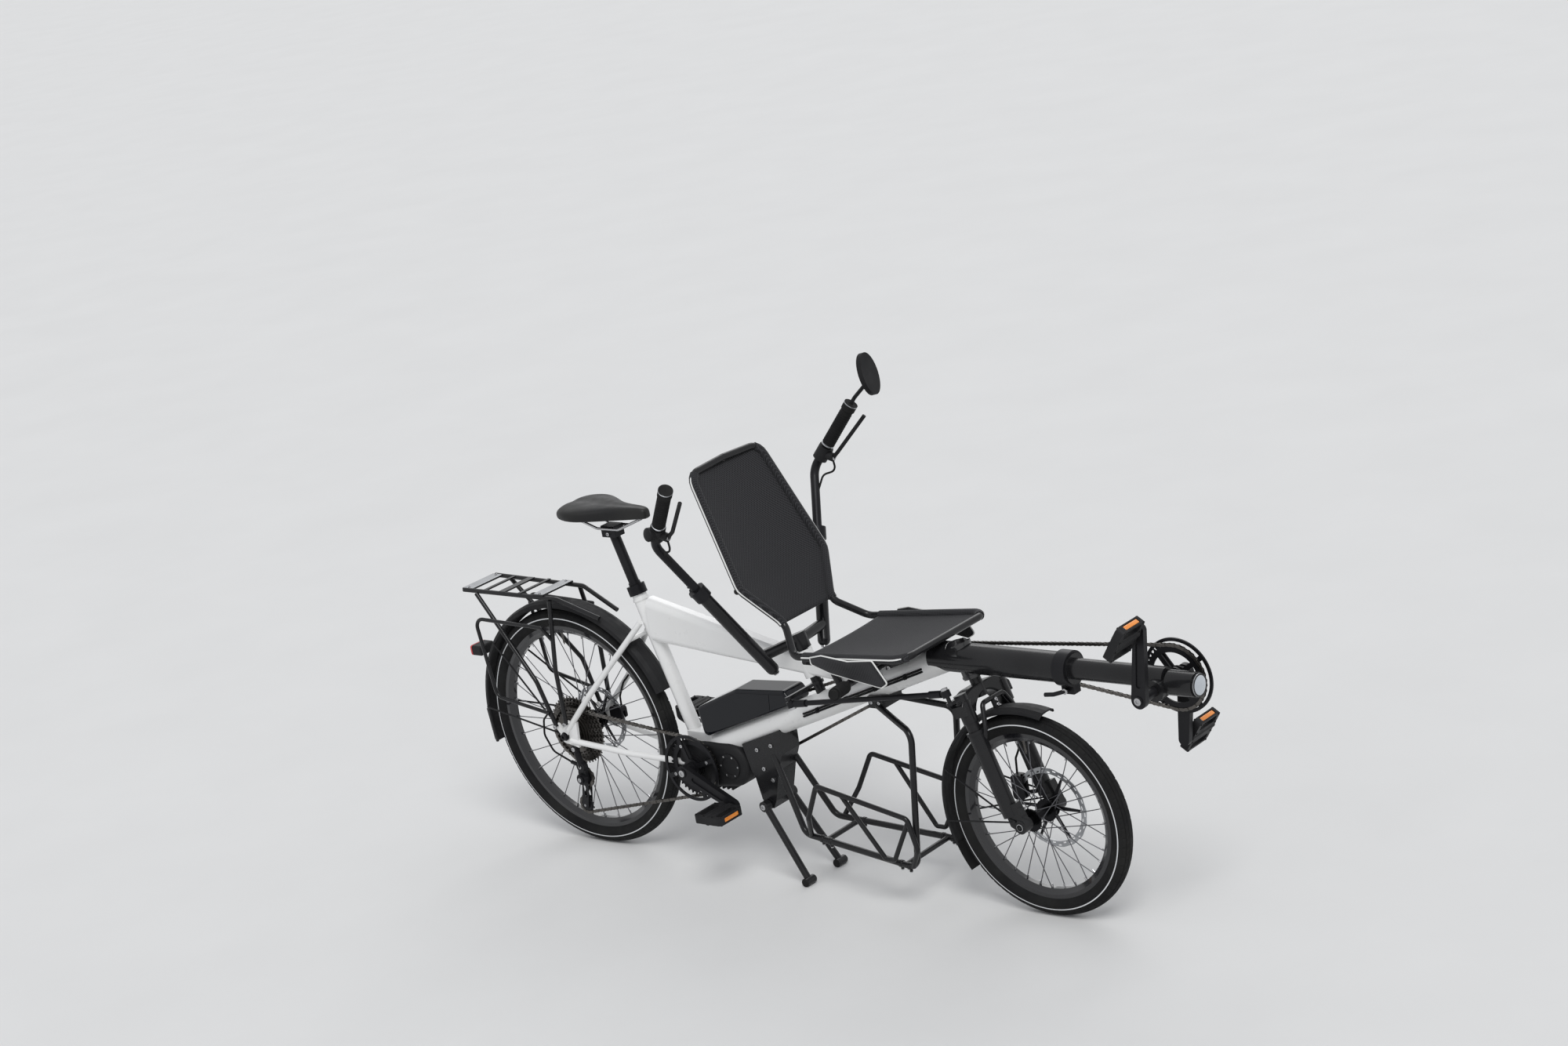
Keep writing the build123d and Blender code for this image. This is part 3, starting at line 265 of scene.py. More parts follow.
def wheel_finish(name, centre, hub_r):
    """A black hub whose spokes, all of what lies farther from its axle, are bare steel."""
    m, tree, shader, where = new_material(name)
    axis = tree.nodes.new("ShaderNodeCombineXYZ")
    split = tree.nodes.new("ShaderNodeSeparateXYZ")
    gap = tree.nodes.new("ShaderNodeVectorMath")
    gap.operation = "DISTANCE"
    middle = place((centre[0], 0, centre[1]))
    gap.inputs[1].default_value = (middle.x, 0, middle.z)
    tree.links.new(where, split.inputs["Vector"])
    tree.links.new(split.outputs["X"], axis.inputs["X"])
    tree.links.new(split.outputs["Z"], axis.inputs["Z"])
    tree.links.new(axis.outputs["Vector"], gap.inputs[0])
    spoke = to_range(tree, gap.outputs["Value"], 0.0, 1.0, hub_r * MM, (hub_r + 1) * MM)
    tree.links.new(mixed(tree, spoke, HUB_COLOUR, SPOKE_COLOUR), shader.inputs["Base Color"])
    tree.links.new(to_range(tree, noise(tree, where, 40.0), 0.26, 0.36),
                   shader.inputs["Roughness"])
    shader.inputs["Metallic"].default_value = 0.85
    return m


def with_black_head(m):
    """The same finish, black from HEAD_REACH behind the steering axis forward."""
    tree = m.node_tree
    shader = tree.nodes["Principled BSDF"]
    shade = shader.inputs["Base Color"].links[0].from_socket
    ahead = tree.nodes.new("ShaderNodeVectorMath")
    ahead.operation = "DOT_PRODUCT"
    ahead.inputs[1].default_value = AHEAD
    tree.links.new(tree.nodes["Texture Coordinate"].outputs["Object"], ahead.inputs[0])
    edge = place(STEER_BASE).dot(AHEAD) - HEAD_REACH * MM
    fac = to_range(tree, ahead.outputs["Value"], 0.0, 1.0, edge, edge + MM)
    tree.links.new(mixed(tree, fac, shade, HEAD_COLOUR), shader.inputs["Base Color"])
    return m


FRONT_HUB = wheel_finish("front_hub_finish", FRONT, 30)
REAR_HUB = wheel_finish("rear_hub_finish", REAR, 32)
FRAME_PAINT = with_black_head(coated("frame_paint", **WHITE_LOOK))

FINISHES = {
    FRAME_PAINT: ("frame_main",),
    WHITE: ("rear_triangle", "chain_stays"),
    BLACK: ("boom_sleeve", "boom_tube", "mesh_frame", "low_rack", "pannier_hoop_right",
            "pannier_hoop_left", "rear_rack", "rack_stand_bracket", "stand_legs",
            "fork_lowers", "fork_upper", "headlight", "hand_bar", "bar_column"),
    ALLOY: ("rear_axle", "boom_clamp", "seat_post", "bar_clamps", "bar_ends", "rear_crankset",
            "front_crankset", "chain_idlers", "derailleur", "front_caliper", "rear_caliper",
            "steering_rod"),
    PLASTIC: ("motor", "front_mudguard", "rear_mudguard", "bar_controls", "mirror_arm",
              "rear_pedal_right", "rear_pedal_left", "front_pedal_right", "front_pedal_left",
              "tail_lamp"),
    RIM: ("front_rim", "rear_rim"),
    GLOSS: ("battery",),
    RUBBER: ("bar_grips", "hand_grips", "fork_hose", "frame_cables", "bar_hoses"),
    STEEL: ("saddle_rails",),
    DARK_STEEL: ("cassette",),
    FRONT_HUB: ("front_hub",),
    REAR_HUB: ("rear_hub",),
}
for material, names in FINISHES.items():
    for name in names:
        data = NODES[name].data
        data.materials.clear()
        data.materials.append(material)


# pieces

BOLT_SIDES = 18
# a bolt's recess starts at this share of its head's radius
SOCKET = 0.55
STRAIGHT = math.pi - 0.02


def put(name, data):
    """A new object in the scene."""
    obj = bpy.data.objects.new(name, data)
    bpy.context.scene.collection.objects.link(obj)
    return obj


def piece(name, body, verts, faces, materials, chosen=None, smooth=True):
    """A mesh piece from points in millimetres. Chosen gives each face's material."""
    data = bpy.data.meshes.new(name)
    data.from_pydata([place(v) for v in verts], [], faces)
    for material in materials if isinstance(materials, list) else [materials]:
        data.materials.append(material)
    for i, face in enumerate(data.polygons):
        face.use_smooth = smooth
        if chosen:
            face.material_index = chosen[i]
    data.update()
    obj = put(name, data)
    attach(obj, body)
    return obj


def sharp_by_angle(obj, degrees):
    obj.data.set_sharp_from_angle(angle=math.radians(degrees))


class Build:
    """Collects points and faces of one piece that is made of many small forms."""

    def __init__(self):
        self.verts = []
        self.faces = []
        self.chosen = []

    def add(self, verts, faces, material=0):
        start = len(self.verts)
        self.verts.extend(verts)
        self.faces.extend(tuple(start + i for i in face) for face in faces)
        self.chosen.extend([material] * len(faces))

    def plate(self, outline, u, v, w, origin, thickness, material=0):
        """A flat plate: its outline is in the u, v plane at origin, and it is thick along w."""
        n = len(outline)
        low = [origin + u * a + v * b - w * (thickness / 2) for a, b in outline]
        high = [p + w * thickness for p in low]
        self.add(low + high, ends(2, n) + walls(2, n), material)

    def rod(self, a, b, r, sides, material=0, r_end=None):
        """A round bar from a to b, a cone where r_end differs."""
        a = Vector(a)
        b = Vector(b)
        side, other = cross_ways((b - a).normalized())
        verts = circle(a, side, other, r, sides)
        verts += circle(b, side, other, r if r_end is None else r_end, sides)
        self.add(verts, walls(2, sides) + ends(2, sides), material)

    def tube(self, points, r, sides, closed=False):
        """A round tube along a line of close points."""
        points = [Vector(p) for p in points]
        n = len(points)
        verts = []
        side = None
        for i, p in enumerate(points):
            before = points[i - 1] if i or closed else p
            after = points[(i + 1) % n] if i < n - 1 or closed else p
            along = (after - before).normalized()
            if side is None:
                side = along.orthogonal().normalized()
            side = (side - along * side.dot(along)).normalized()
            verts += circle(p, side, along.cross(side), r, sides)
        self.add(verts, walls(n, sides, closed) + ([] if closed else ends(n, sides)))

    def bolt(self, at, way, r, height):
        """A socket-head bolt: a chamfered head with a six-sided recess."""
        at = Vector(at)
        way = Vector(way).normalized()
        side, other = cross_ways(way)
        rings = ((r, 0), (r, height * 0.8), (r * 0.86, height), (r * SOCKET, height),
                 (r * 0.5, height * 0.4))
        corner = TAU / 6
        verts = []
        for radius, lift in rings:
            for i in range(BOLT_SIDES):
                t = TAU * i / BOLT_SIDES
                reach = radius
                if radius <= r * SOCKET:
                    reach *= math.cos(corner / 2) / math.cos(t % corner - corner / 2)
                verts.append(at + (side * math.cos(t) + other * math.sin(t)) * reach
                             + way * lift)
        n = len(rings)
        self.add(verts, walls(n, BOLT_SIDES) + ends(n, BOLT_SIDES))

    def finish(self, name, body, materials, angle=35, smooth=True):
        obj = piece(name, body, self.verts, self.faces, materials, self.chosen, smooth)
        if smooth:
            sharp_by_angle(obj, angle)
        return obj


def rounded(points, radius, step=8):
    """A line through points whose corners are arcs of that radius."""
    points = [Vector(p) for p in points]
    line = [points[0]]
    for a, p, b in zip(points, points[1:], points[2:]):
        u = (a - p).normalized()
        v = (b - p).normalized()
        angle = u.angle(v)
        if angle > STRAIGHT:
            line.append(p)
            continue
        reach = radius / math.tan(angle / 2)
        centre = p + (u + v).normalized() * (radius / math.sin(angle / 2))
        start = p + u * reach - centre
        stop = p + v * reach - centre
        turn = start.angle(stop)
        for i in range(step + 1):
            t = i / step
            line.append(centre + (start * math.sin((1 - t) * turn) + stop * math.sin(t * turn))
                        / math.sin(turn))
    line.append(points[-1])
    return line


# tyres: tread blocks, side ribs, bead and the reflective stripe

BEAD_ANGLE = 143
TREAD_ANGLE = 54
TREAD_STEP = 3
STRIPE_ANGLES = (77.5, 84.0)
LONG_GROOVES = (12, 33)
GROOVE = 1.5
RIB_CUTS = {58: 0.9, 62: 0.7, 96: 0.7}
# rings of points lie about this far apart, in groups that fit the blocks' 7 and 9
RING_STEP = 2.8
RING_GROUP = 63


def tread_depth(ring, angle):
    """How deep the tread is cut at a place: ring counts round the tyre, angle across it."""
    side = 1 if angle > 0 else -1
    a = abs(angle)
    if a in LONG_GROOVES:
        return GROOVE
    if 15 <= a <= 30 and (ring + int((a - 15) / 3) + (3 if side > 0 else 0)) % 7 == 0:
        return GROOVE * 0.8
    if 36 <= a <= TREAD_ANGLE and (ring + (4 if side > 0 else 0)) % 9 == 0:
        return GROOVE
    if a <= 9 and (ring + int(a / 3)) % 14 == 0:
        return GROOVE * 0.5
    return 0.0


def tyre(end, centre, radius):
    rings = int(TAU * radius / RING_STEP / RING_GROUP) * RING_GROUP
    wall = [-BEAD_ANGLE, -130, -118, -106, -98, -96, -92, -STRIPE_ANGLES[1], -STRIPE_ANGLES[0],
            -70, -62, -58]
    tread = list(range(-TREAD_ANGLE, TREAD_ANGLE + 1, TREAD_STEP))
    profile = wall + tread + [-a for a in reversed(wall)]
    section = TYRE_W / 2
    verts = []
    for i in range(rings):
        for a in profile:
            cut = tread_depth(i, a) if abs(a) <= TREAD_ANGLE else RIB_CUTS.get(abs(a), 0.0)
            r = section - cut
            x, z = around(centre, radius - section + r * math.cos(math.radians(a)),
                          360 * i / rings)
            verts.append((x, r * math.sin(math.radians(a)), z))
    n = len(profile)
    striped = [1 if abs(a) in STRIPE_ANGLES and abs(b) in STRIPE_ANGLES else 0
               for a, b in zip(profile, profile[1:])]
    obj = piece(end + "_tread", end + "_wheel", verts, walls(rings, n, True), [RUBBER, STRIPE],
                (striped + [0]) * rings)
    sharp_by_angle(obj, 40)
    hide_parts(end + "_tyre")


tyre("front", FRONT, FRONT_R)
tyre("rear", REAR, REAR_R)


# chains


def chain_points(wheels):
    """Where a chain's pins lie round its wheels, evenly along the closed line, in the x, z
    plane. A wheel has x, z, radius, and 1 or -1 for the side on which the chain passes."""
    n = len(wheels)
    runs = []
    for i in range(n):
        x0, z0, r0, s0 = wheels[i]
        x1, z1, r1, s1 = wheels[(i + 1) % n]
        gap = math.hypot(x1 - x0, z1 - z0)
        way = math.atan2(z1 - z0, x1 - x0) - math.asin((s1 * r1 - s0 * r0) / gap)
        nx = math.sin(way)
        nz = -math.cos(way)
        runs.append(((x0 + s0 * r0 * nx, z0 + s0 * r0 * nz),
                     (x1 + s1 * r1 * nx, z1 + s1 * r1 * nz)))
    line = []
    for i in range(n):
        a, b = runs[i]
        line.append(a)
        x1, z1, r1, s1 = wheels[(i + 1) % n]
        c = runs[(i + 1) % n][0]
        start = math.atan2(b[1] - z1, b[0] - x1)
        stop = math.atan2(c[1] - z1, c[0] - x1)
        turn = (stop - start) % TAU if s1 > 0 else -((start - stop) % TAU)
        steps = max(2, int(abs(turn) * 24))
        for k in range(steps + 1):
            t = start + turn * k / steps
            line.append((x1 + r1 * math.cos(t), z1 + r1 * math.sin(t)))
    lengths = [math.dist(line[i], line[(i + 1) % len(line)]) for i in range(len(line))]
    whole = sum(lengths)
    count = 2 * round(whole / PITCH / 2)
    places = []
    i = 0
    gone = 0.0
    for k in range(count):
        goal = whole * k / count
        while gone + lengths[i] < goal:
            gone += lengths[i]
            i += 1
        t = (goal - gone) / lengths[i]
        a = line[i]
        b = line[(i + 1) % len(line)]
        places.append((a[0] + (b[0] - a[0]) * t, a[1] + (b[1] - a[1]) * t))
    return places


LINK_R = 4.1
WAIST = 3.2
PLATE = 0.85
OUTER_PLATES = 2.9
INNER_PLATES = 1.9
# half the length, the radius and the sides of a pin and of a roller
PIN = (3.4, 1.7, 8)
ROLLER = (1.4, 3.7, 10)


def link_outline():
    """A waisted link plate, long along u."""
    outline = []
    for centre, start, waist in ((PITCH / 2, -100, WAIST), (-PITCH / 2, 80, -WAIST)):
        outline += [around((centre, 0), LINK_R, start + k * 200 / 6) for k in range(7)]
        outline.append((0, waist))
    return outline


def chain(name, node, wheels, y):
    places = chain_points(wheels)
    build = Build()
    outline = link_outline()
    for i, p in enumerate(places):
        q = places[(i + 1) % len(places)]
        along = Vector((q[0] - p[0], 0, q[1] - p[1])).normalized()
        up = along.cross(ACROSS)
        middle = Vector(((p[0] + q[0]) / 2, y, (p[1] + q[1]) / 2))
        spread = OUTER_PLATES if i % 2 else INNER_PLATES
        for side in SIDES:
            build.plate(outline, along, up, ACROSS, middle + ACROSS * side * spread, PLATE)
        for half, r, sides in (PIN, ROLLER):
            build.rod((p[0], y - half, p[1]), (p[0], y + half, p[1]), r, sides)
    obj = build.finish(name, "frame", DARK_STEEL)
    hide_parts(node)


UPPER_IDLER = (1255, 628)
LOWER_IDLER = (1290, 598)
GUIDE_PULLEY = (15, 204)
TENSION_PULLEY = (-5, 122)
PULLEY_R = 22.5
IDLER_R = 16
SPROCKET_R = 67.5
chain("drive_chain_links", "drive_chain",
      [BB + (RING_R, 1), REAR + (SPROCKET_R, 1), GUIDE_PULLEY + (PULLEY_R, -1),
       TENSION_PULLEY + (PULLEY_R, 1)], -CHAIN_Y)
chain("sync_chain_links", "sync_chain",
      [BOOM_BB + (RING_R, 1), UPPER_IDLER + (IDLER_R, 1), BB + (RING_R, 1),
       LOWER_IDLER + (IDLER_R, -1)], SYNC_Y)

RING_THICK = 2.2
# a tooth's edge: the share of a pitch, and how far it lies outside the pitch circle there
TOOTH = ((0.0, -3.6), (0.22, -3.0), (0.38, 2.6), (0.5, 3.4), (0.62, 2.6), (0.78, -3.0))


def toothed_ring(name, body, centre, y, pitch_r, inner):
    """A chain ring's toothed edge."""
    teeth = round(TAU * pitch_r / PITCH)
    outer = [around(centre, pitch_r + rise, 360 * (i + share) / teeth)
             for i in range(teeth) for share, rise in TOOTH]
    n = len(outer)
    hole = [around(centre, inner, 360 * i / n) for i in range(n)]
    low = y - RING_THICK / 2
    high = y + RING_THICK / 2
    verts = []
    for edge, level in ((outer, low), (outer, high), (hole, high), (hole, low)):
        verts += [(x, level, z) for x, z in edge]
    build = Build()
    build.add(verts, walls(4, n, True))
    build.finish(name, body, ALLOY)


toothed_ring("rear_ring_teeth", "rear_cranks", BB, -CHAIN_Y, RING_R, RING_R - 10)
toothed_ring("rear_sync_ring_teeth", "rear_cranks", BB, SYNC_Y, RING_R, RING_R - 10)
toothed_ring("front_ring_teeth", "front_cranks", BOOM_BB, SYNC_Y, RING_R, RING_R - 10)


# front rider's mesh seat

SIDE_BEND = 34
# the seat frame's left side, from the middle of its top to the middle of the pan's front
SIDE_LINE = [(680, 0, 1100), (683, 125, 1095), (808, 160, 821), (866, 88, 714),
             (930, 145, 655), (1285, 160, 682), (1285, 0, 682)]


def seat_side(side):
    return rounded([(x, side * y, z) for x, y, z in SIDE_LINE], SIDE_BEND)


def stretch(line, start, stop, count):
    """Count places evenly along a line, from start to stop in millimetres along it."""
    places = []
    for k in range(count):
        goal = start + (stop - start) * k / (count - 1)
        gone = 0.0
        for a, b in zip(line, line[1:]):
            step = (b - a).length
            if gone + step >= goal - 1e-6:
                places.append(a + (b - a) * ((goal - gone) / step))
                break
            gone += step
    return places


SHEET_COLUMNS = 25
SHEET_THICK = 0.0024


def seat_sheet(name, node, lines, sag, lift):
    """A sheet stretched between two side lines. It sags along lift between them."""
    left, right = lines
    rows = len(left)
    verts = []
    for i in range(rows):
        share = 0.35 + 0.65 * math.sin(math.pi * i / (rows - 1))
        for k in range(SHEET_COLUMNS):
            t = k / (SHEET_COLUMNS - 1)
            bow = (1 - (2 * t - 1) ** 2) * share
            verts.append(left[i] + (right[i] - left[i]) * t + lift * (sag * bow))
    faces = []
    for i in range(rows - 1):
        for k in range(SHEET_COLUMNS - 1):
            a = i * SHEET_COLUMNS + k
            faces.append((a, a + 1, a + SHEET_COLUMNS + 1, a + SHEET_COLUMNS))
    obj = piece(name, "frame", verts, faces, MESH)
    thick = obj.modifiers.new("thickness", "SOLIDIFY")
    thick.thickness = SHEET_THICK
    thick.offset = 0
    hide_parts(node)


HEM_R = 11.2
PIPING_R = 2.0


def edge_wraps(name, lines, offset):
    """The hem that wraps each side tube, and the white piping on its outer edge."""
    hems = Build()
    piping = Build()
    for line in lines:
        hems.tube(line, HEM_R, 18)
        piping.tube([p + Vector((0, math.copysign(HEM_R + 0.6, p.y), 0)) + offset for p in line],
                    PIPING_R, 10)
    hems.finish(name + "_hem", "frame", MESH, angle=60)
    piping.finish(name + "_piping", "frame", WHITE_TRIM, angle=60)


# back and pan: start and stop along the side tubes, rows, sag and its way, flat size in metres
BACK_WAY = Vector((-0.912, 0, -0.411))
DOWN = Vector((0, 0, -1))
for name, node, start, stop, rows, sag, lift, flat, offset in (
        ("seat_back", "mesh_back", 112, 556, 40, 16, BACK_WAY, (0.31, 0.40), (2, 0, 1)),
        ("seat_pan", "mesh_pan", 690, 1015, 34, 14, DOWN, (0.315, 0.345), (0, 0, 2))):
    lines = [stretch(seat_side(side), start, stop, rows) for side in (1, -1)]
    seat_sheet(name + "_mesh", node, lines, sag, lift)
    edge_wraps(name, lines, Vector(offset))

FLAP_Y = 168
FLAP_EDGE = ((1004, 668), (1040, 676), (1120, 668), (1196, 676), (1232, 622), (1212, 610),
             (1060, 634), (1004, 652), (1004, 668))
# the back, then the padding: its outline's share, and how far it stands out there
FLAP_ROWS = ((1.0, -1.5), (1.0, 2.0), (0.97, 4.0), (0.85, 5.4), (0.5, 6.4), (0.0, 6.8))


def side_flap(side):
    """The padded flap that hangs from the pan's side, with white piping round it."""
    outline = rounded([(x, 0, z) for x, z in FLAP_EDGE], 6, 4)
    middle = sum(outline, Vector()) / len(outline)
    outline = outline[:-1]
    n = len(outline)
    verts = []
    for share, swell in FLAP_ROWS:
        out = Vector((0, side * (FLAP_Y + swell), 0))
        verts += [middle + (p - middle) * share + out for p in outline]
    build = Build()
    build.add(verts, [tuple(range(n))] + walls(len(FLAP_ROWS), n))
    name = "seat_flap_" + side_name(side)
    flap = build.finish(name, "frame", MESH, angle=70)
    edge = Build()
    out = Vector((0, side * (FLAP_Y + 2.5), 0))
    edge.tube([p + out for p in outline], PIPING_R, 8, closed=True)
    edge.finish(name + "_piping", "frame", WHITE_TRIM, angle=60)


side_flap(1)
side_flap(-1)


# rear rider's saddle

# from tail to nose: x, height, half the width, and how deep the skirt hangs
SADDLE_ROWS = ((112, 942, 52, 8), (120, 950, 66, 18), (150, 952, 82, 24), (185, 951, 84, 25),
               (225, 949, 66, 25), (265, 947, 42, 24), (310, 946, 27, 22), (350, 946, 20, 19),
               (376, 944, 16, 14), (384, 938, 10, 7))
SADDLE_COLUMNS = 28
SADDLE_RISE = 20
CHANNEL = 3.0


def saddle():
    """A padded saddle with a shallow channel along its middle."""
    verts = []
    for x, z, half, drop in SADDLE_ROWS:
        for k in range(SADDLE_COLUMNS):
            t = TAU * k / SADDLE_COLUMNS
            y = half * math.copysign(abs(math.sin(t)) ** 0.8, math.sin(t))
            c = math.cos(t)
            if c > 0:
                h = SADDLE_RISE * c ** 0.7 - CHANNEL * math.exp(-(y / 9) ** 2)
            else:
                h = -drop * abs(c) ** 0.45
            verts.append((x, y, z + h * 0.9 - 4))
    rows = len(SADDLE_ROWS)
    faces = walls(rows, SADDLE_COLUMNS) + ends(rows, SADDLE_COLUMNS)
    obj = piece("saddle_cover", "frame", verts, faces, LEATHER)
    smooth = obj.modifiers.new("smooth", "SUBSURF")
    smooth.levels = 2
    smooth.render_levels = 2
    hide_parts("saddle")


saddle()


# small forms that several pieces share

BAND_SIDES = 28
LENS_RINGS = 7
LENS_SIDES = 36
LENS_TOP = 0.01
HEADLIGHT = (1984.4, 0, 622)


def lens(name, centre, way, r, depth, material, body):
    """A domed lens. Its last ring keeps a small radius, so that no face has no area."""
    centre = Vector(centre)
    way = Vector(way).normalized()
    side, other = cross_ways(way)
    verts = []
    for i in range(LENS_RINGS):
        t = math.pi / 2 * i / (LENS_RINGS - 1)
        verts += circle(centre + way * (depth * math.sin(t)), side, other,
                        r * math.cos(t) + LENS_TOP, LENS_SIDES)
    build = Build()
    build.add(verts, walls(LENS_RINGS, LENS_SIDES) + ends(LENS_RINGS, LENS_SIDES))
    build.finish(name, body, material, angle=60)


def ring_band(build, centre, way, r, width, lip):
    """A raised band round a bar: width is along way, and lip is how thick the band is."""
    centre = Vector(centre)
    way = Vector(way).normalized()
    side, other = cross_ways(way)
    verts = []
    for radius, share in ((r - lip, -1 / 2), (r, -1 / 3), (r, 1 / 3), (r - lip, 1 / 2)):
        verts += circle(centre + way * (width * share), side, other, radius, BAND_SIDES)
    build.add(verts, walls(4, BAND_SIDES, True))


def pad(build, centre, u, v, size, depth, corner, dome):
    """A rounded plate, size in u and v, with a domed face along u cross v."""
    centre = Vector(centre)
    u = Vector(u).normalized()
    v = Vector(v).normalized()
    w = u.cross(v)
    a = size[0] / 2 - corner
    b = size[1] / 2 - corner
    outline = []
    for k in range(4):
        for i in range(5):
            t = math.radians(90 * k + 22.5 * i)
            x = a if k in (0, 3) else -a
            y = b if k in (0, 1) else -b
            outline.append((x, y, math.cos(t), math.sin(t)))
    verts = []
    for share, lift in ((1.0, 0.0), (1.0, depth), (0.65, depth + dome * 0.7),
                        (0.2, depth + dome)):
        r = corner * share
        verts += [centre + u * (x + r * c) + v * (y + r * s) + w * lift for x, y, c, s in outline]
    n = len(outline)
    build.add(verts, walls(4, n) + ends(4, n))


def bolts(name, body, places):
    """Socket-head bolts: each place has its point, the way it faces, radius and height."""
    build = Build()
    for at, way, r, height in places:
        build.bolt(at, way, r, height)
    build.finish(name, body, STEEL)


def both_sides(places):
    """Bolts on the right, and their mirror images on the left."""
    return [((x, side * y, z), (0, side, 0), r, height)
            for (x, y, z), r, height in places for side in SIDES]


lens("headlight_lens", HEADLIGHT, (1, 0, 0), 23, 2.5, GLASS, "frame")


# bolts of the frame, drive and racks

LEVER = 110
BAR_BASE = Vector((830, 0, 600))
GRIP_PITCH = 6.5
STAND_PIVOT = (648, 195)
MOTOR_END = (542, 288)


def at_height(base, z):
    """The point of a steering axis at height z."""
    return base + UP * ((z - base.z) / UP.z)


bolts("frame_bolts", "frame", both_sides([
    ((640, 34, 340), 5.5, 4), ((690, 34, 356), 5.5, 4), ((652, 34, 290), 5.5, 4),
    ((676, 34, 262), 5.5, 4), ((247, 18, 884), 5.0, 4), ((-22, 91, 357), 5.5, 3.5),
    ((16, 91, 367), 5.5, 3.5), ((1052, 38, 508), 4.5, 3), ((1076, 38, 508), 4.5, 3),
    ((1112, 20, 596), 4.5, 3), ((1148, 20, 596), 4.5, 3), ((1629, 24, 584), 7.0, 4)]))
cover_ring = [around(MOTOR_END, 28.5, a) for a in range(0, 360, 60)]
bolts("motor_bolts", "frame", both_sides([((x, 45, z), 2.6, 1.4) for x, z in cover_ring]))
bolts("derailleur_bolts", "frame", [((20, -82, 294), (0, -1, 0), 6, 2.5),
      ((20, -72, 240), (0, -1, 0), 5.5, 2.5), ((15, -78, 204), (0, -1, 0), 6, 2),
      ((-5, -58, 122), (0, -1, 0), 3.5, 2.5)])
bolts("caliper_bolts_rear", "frame", [((56, 68, 343), (0, 1, 0), 4.5, 3),
      ((84, 68, 361), (0, 1, 0), 4.5, 3)])
bolts("stand_bolts", "stand", both_sides([((STAND_PIVOT[0], 59, STAND_PIVOT[1]), 7.5, 4)]))
bolts("fork_bolts", "fork", both_sides([((FRONT[0], 82, FRONT[1]), 9, 3)])
      + [((1396, 56, z), (0, 1, 0), 4.5, 3) for z in (318, 274)]
      + [(STEER_BASE + UP * t + AHEAD * 34, AHEAD, 4.5, 3) for t in (279, 292)])

# a rail of the low rack on the left, and where its cross bars lie
RAIL_REAR = Vector((778, 60, 140))
RAIL_FRONT = Vector((1150, 88, 108))
CROSS_BARS = (836, 864, 1098, 1126)


def rack_clamps():
    """Clamp bands where the cross bars meet the low rack's rails, with a bolt under each."""
    clamps = Build()
    places = []
    way = RAIL_FRONT - RAIL_REAR
    for side in SIDES:
        for x in CROSS_BARS:
            p = RAIL_REAR + way * ((x - RAIL_REAR.x) / way.x)
            p.y *= side
            ring_band(clamps, p, (way.x, side * way.y, way.z), 9.6, 11, 1.6)
            foot = p + DOWN * 13.5
            clamps.rod(p + DOWN * 6, foot, 4.2, 16)
            places.append((foot, DOWN, 3.6, 3))
    clamps.finish("rack_clamps", "frame", BLACK)
    bolts("rack_clamp_bolts", "frame", places)


rack_clamps()

RIGHT_CRANK = -25
FRONT_RIGHT_CRANK = 80.6
SPIDER_R = 62


def crank_bolts(end, centre, angle, rings):
    """The two spindle bolts, and the bolts that hold each ring to its spider."""
    places = both_sides([((centre[0], 100, centre[1]), 9, 3)])
    for y, side in rings:
        for k in range(4):
            x, z = around(centre, SPIDER_R, angle + 45 + 90 * k)
            places.append(((x, y, z), (0, side, 0), 4.5, 2.2))
    bolts(end + "_crank_bolts", end + "_cranks", places)


crank_bolts("rear", BB, RIGHT_CRANK, ((-64, -1), (54, 1)))
crank_bolts("front", BOOM_BB, FRONT_RIGHT_CRANK, ((66, 1),))

# pulleys of the derailleur and the chain's two idlers
for label, centre, y, pitch_r, inner in (
        ("guide_pulley_teeth", GUIDE_PULLEY, -CHAIN_Y, PULLEY_R, 15),
        ("tension_pulley_teeth", TENSION_PULLEY, -CHAIN_Y, PULLEY_R, 15),
        ("upper_idler_teeth", UPPER_IDLER, SYNC_Y, IDLER_R, 9),
        ("lower_idler_teeth", LOWER_IDLER, SYNC_Y, IDLER_R, 9)):
    toothed_ring(label, "frame", centre, y, pitch_r, inner)


# wheels: spoke nipples, valve, brake disc and its bolts

WELL_DEPTH = 42
SPOKE_STEP = 22.5
VALVE_ANGLE = 95
ROTOR_BOLT_R = 18


def wheel_trim(body, centre, radius, rotor_y):
    well = radius - TYRE_W / 2 - WELL_DEPTH
    nipples = Build()
    for side in range(2):
        for i in range(16):
            angle = (i + side * 0.5) * SPOKE_STEP
            x, z = around(centre, well - 9, angle)
            x_out, z_out = around(centre, well + 2, angle)
            nipples.rod((x, 0.6 - 1.2 * side, z), (x_out, 0.2 - 0.4 * side, z_out), 1.7, 8,
                        r_end=2.4)
    nipples.finish(body + "_nipples", body, STEEL)
    valve = Build()
    for low, high, r in ((-30, 2, 2.6), (-34, -30, 1.6), (-3, 1, 4.5)):
        x, z = around(centre, well + low, VALVE_ANGLE)
        x_out, z_out = around(centre, well + high, VALVE_ANGLE)
        valve.rod((x, 0, z), (x_out, 0, z_out), r, 12)
    valve.finish(body + "_valve", body, DARK_STEEL)
    spots = [around(centre, ROTOR_BOLT_R, 60 * k) for k in range(6)]
    bolts(body + "_rotor_bolts", body,
          [((x, rotor_y, z), (0, 1, 0), 2.8, 1.8) for x, z in spots])


wheel_trim("front_wheel", FRONT, FRONT_R, 44)
wheel_trim("rear_wheel", REAR, REAR_R, 58)

DISC_HALF = 1.0
DISC_HUB = 24
TRACK = 15
WAVE_CELLS = 10
WAVE_DEPTH = 1.4


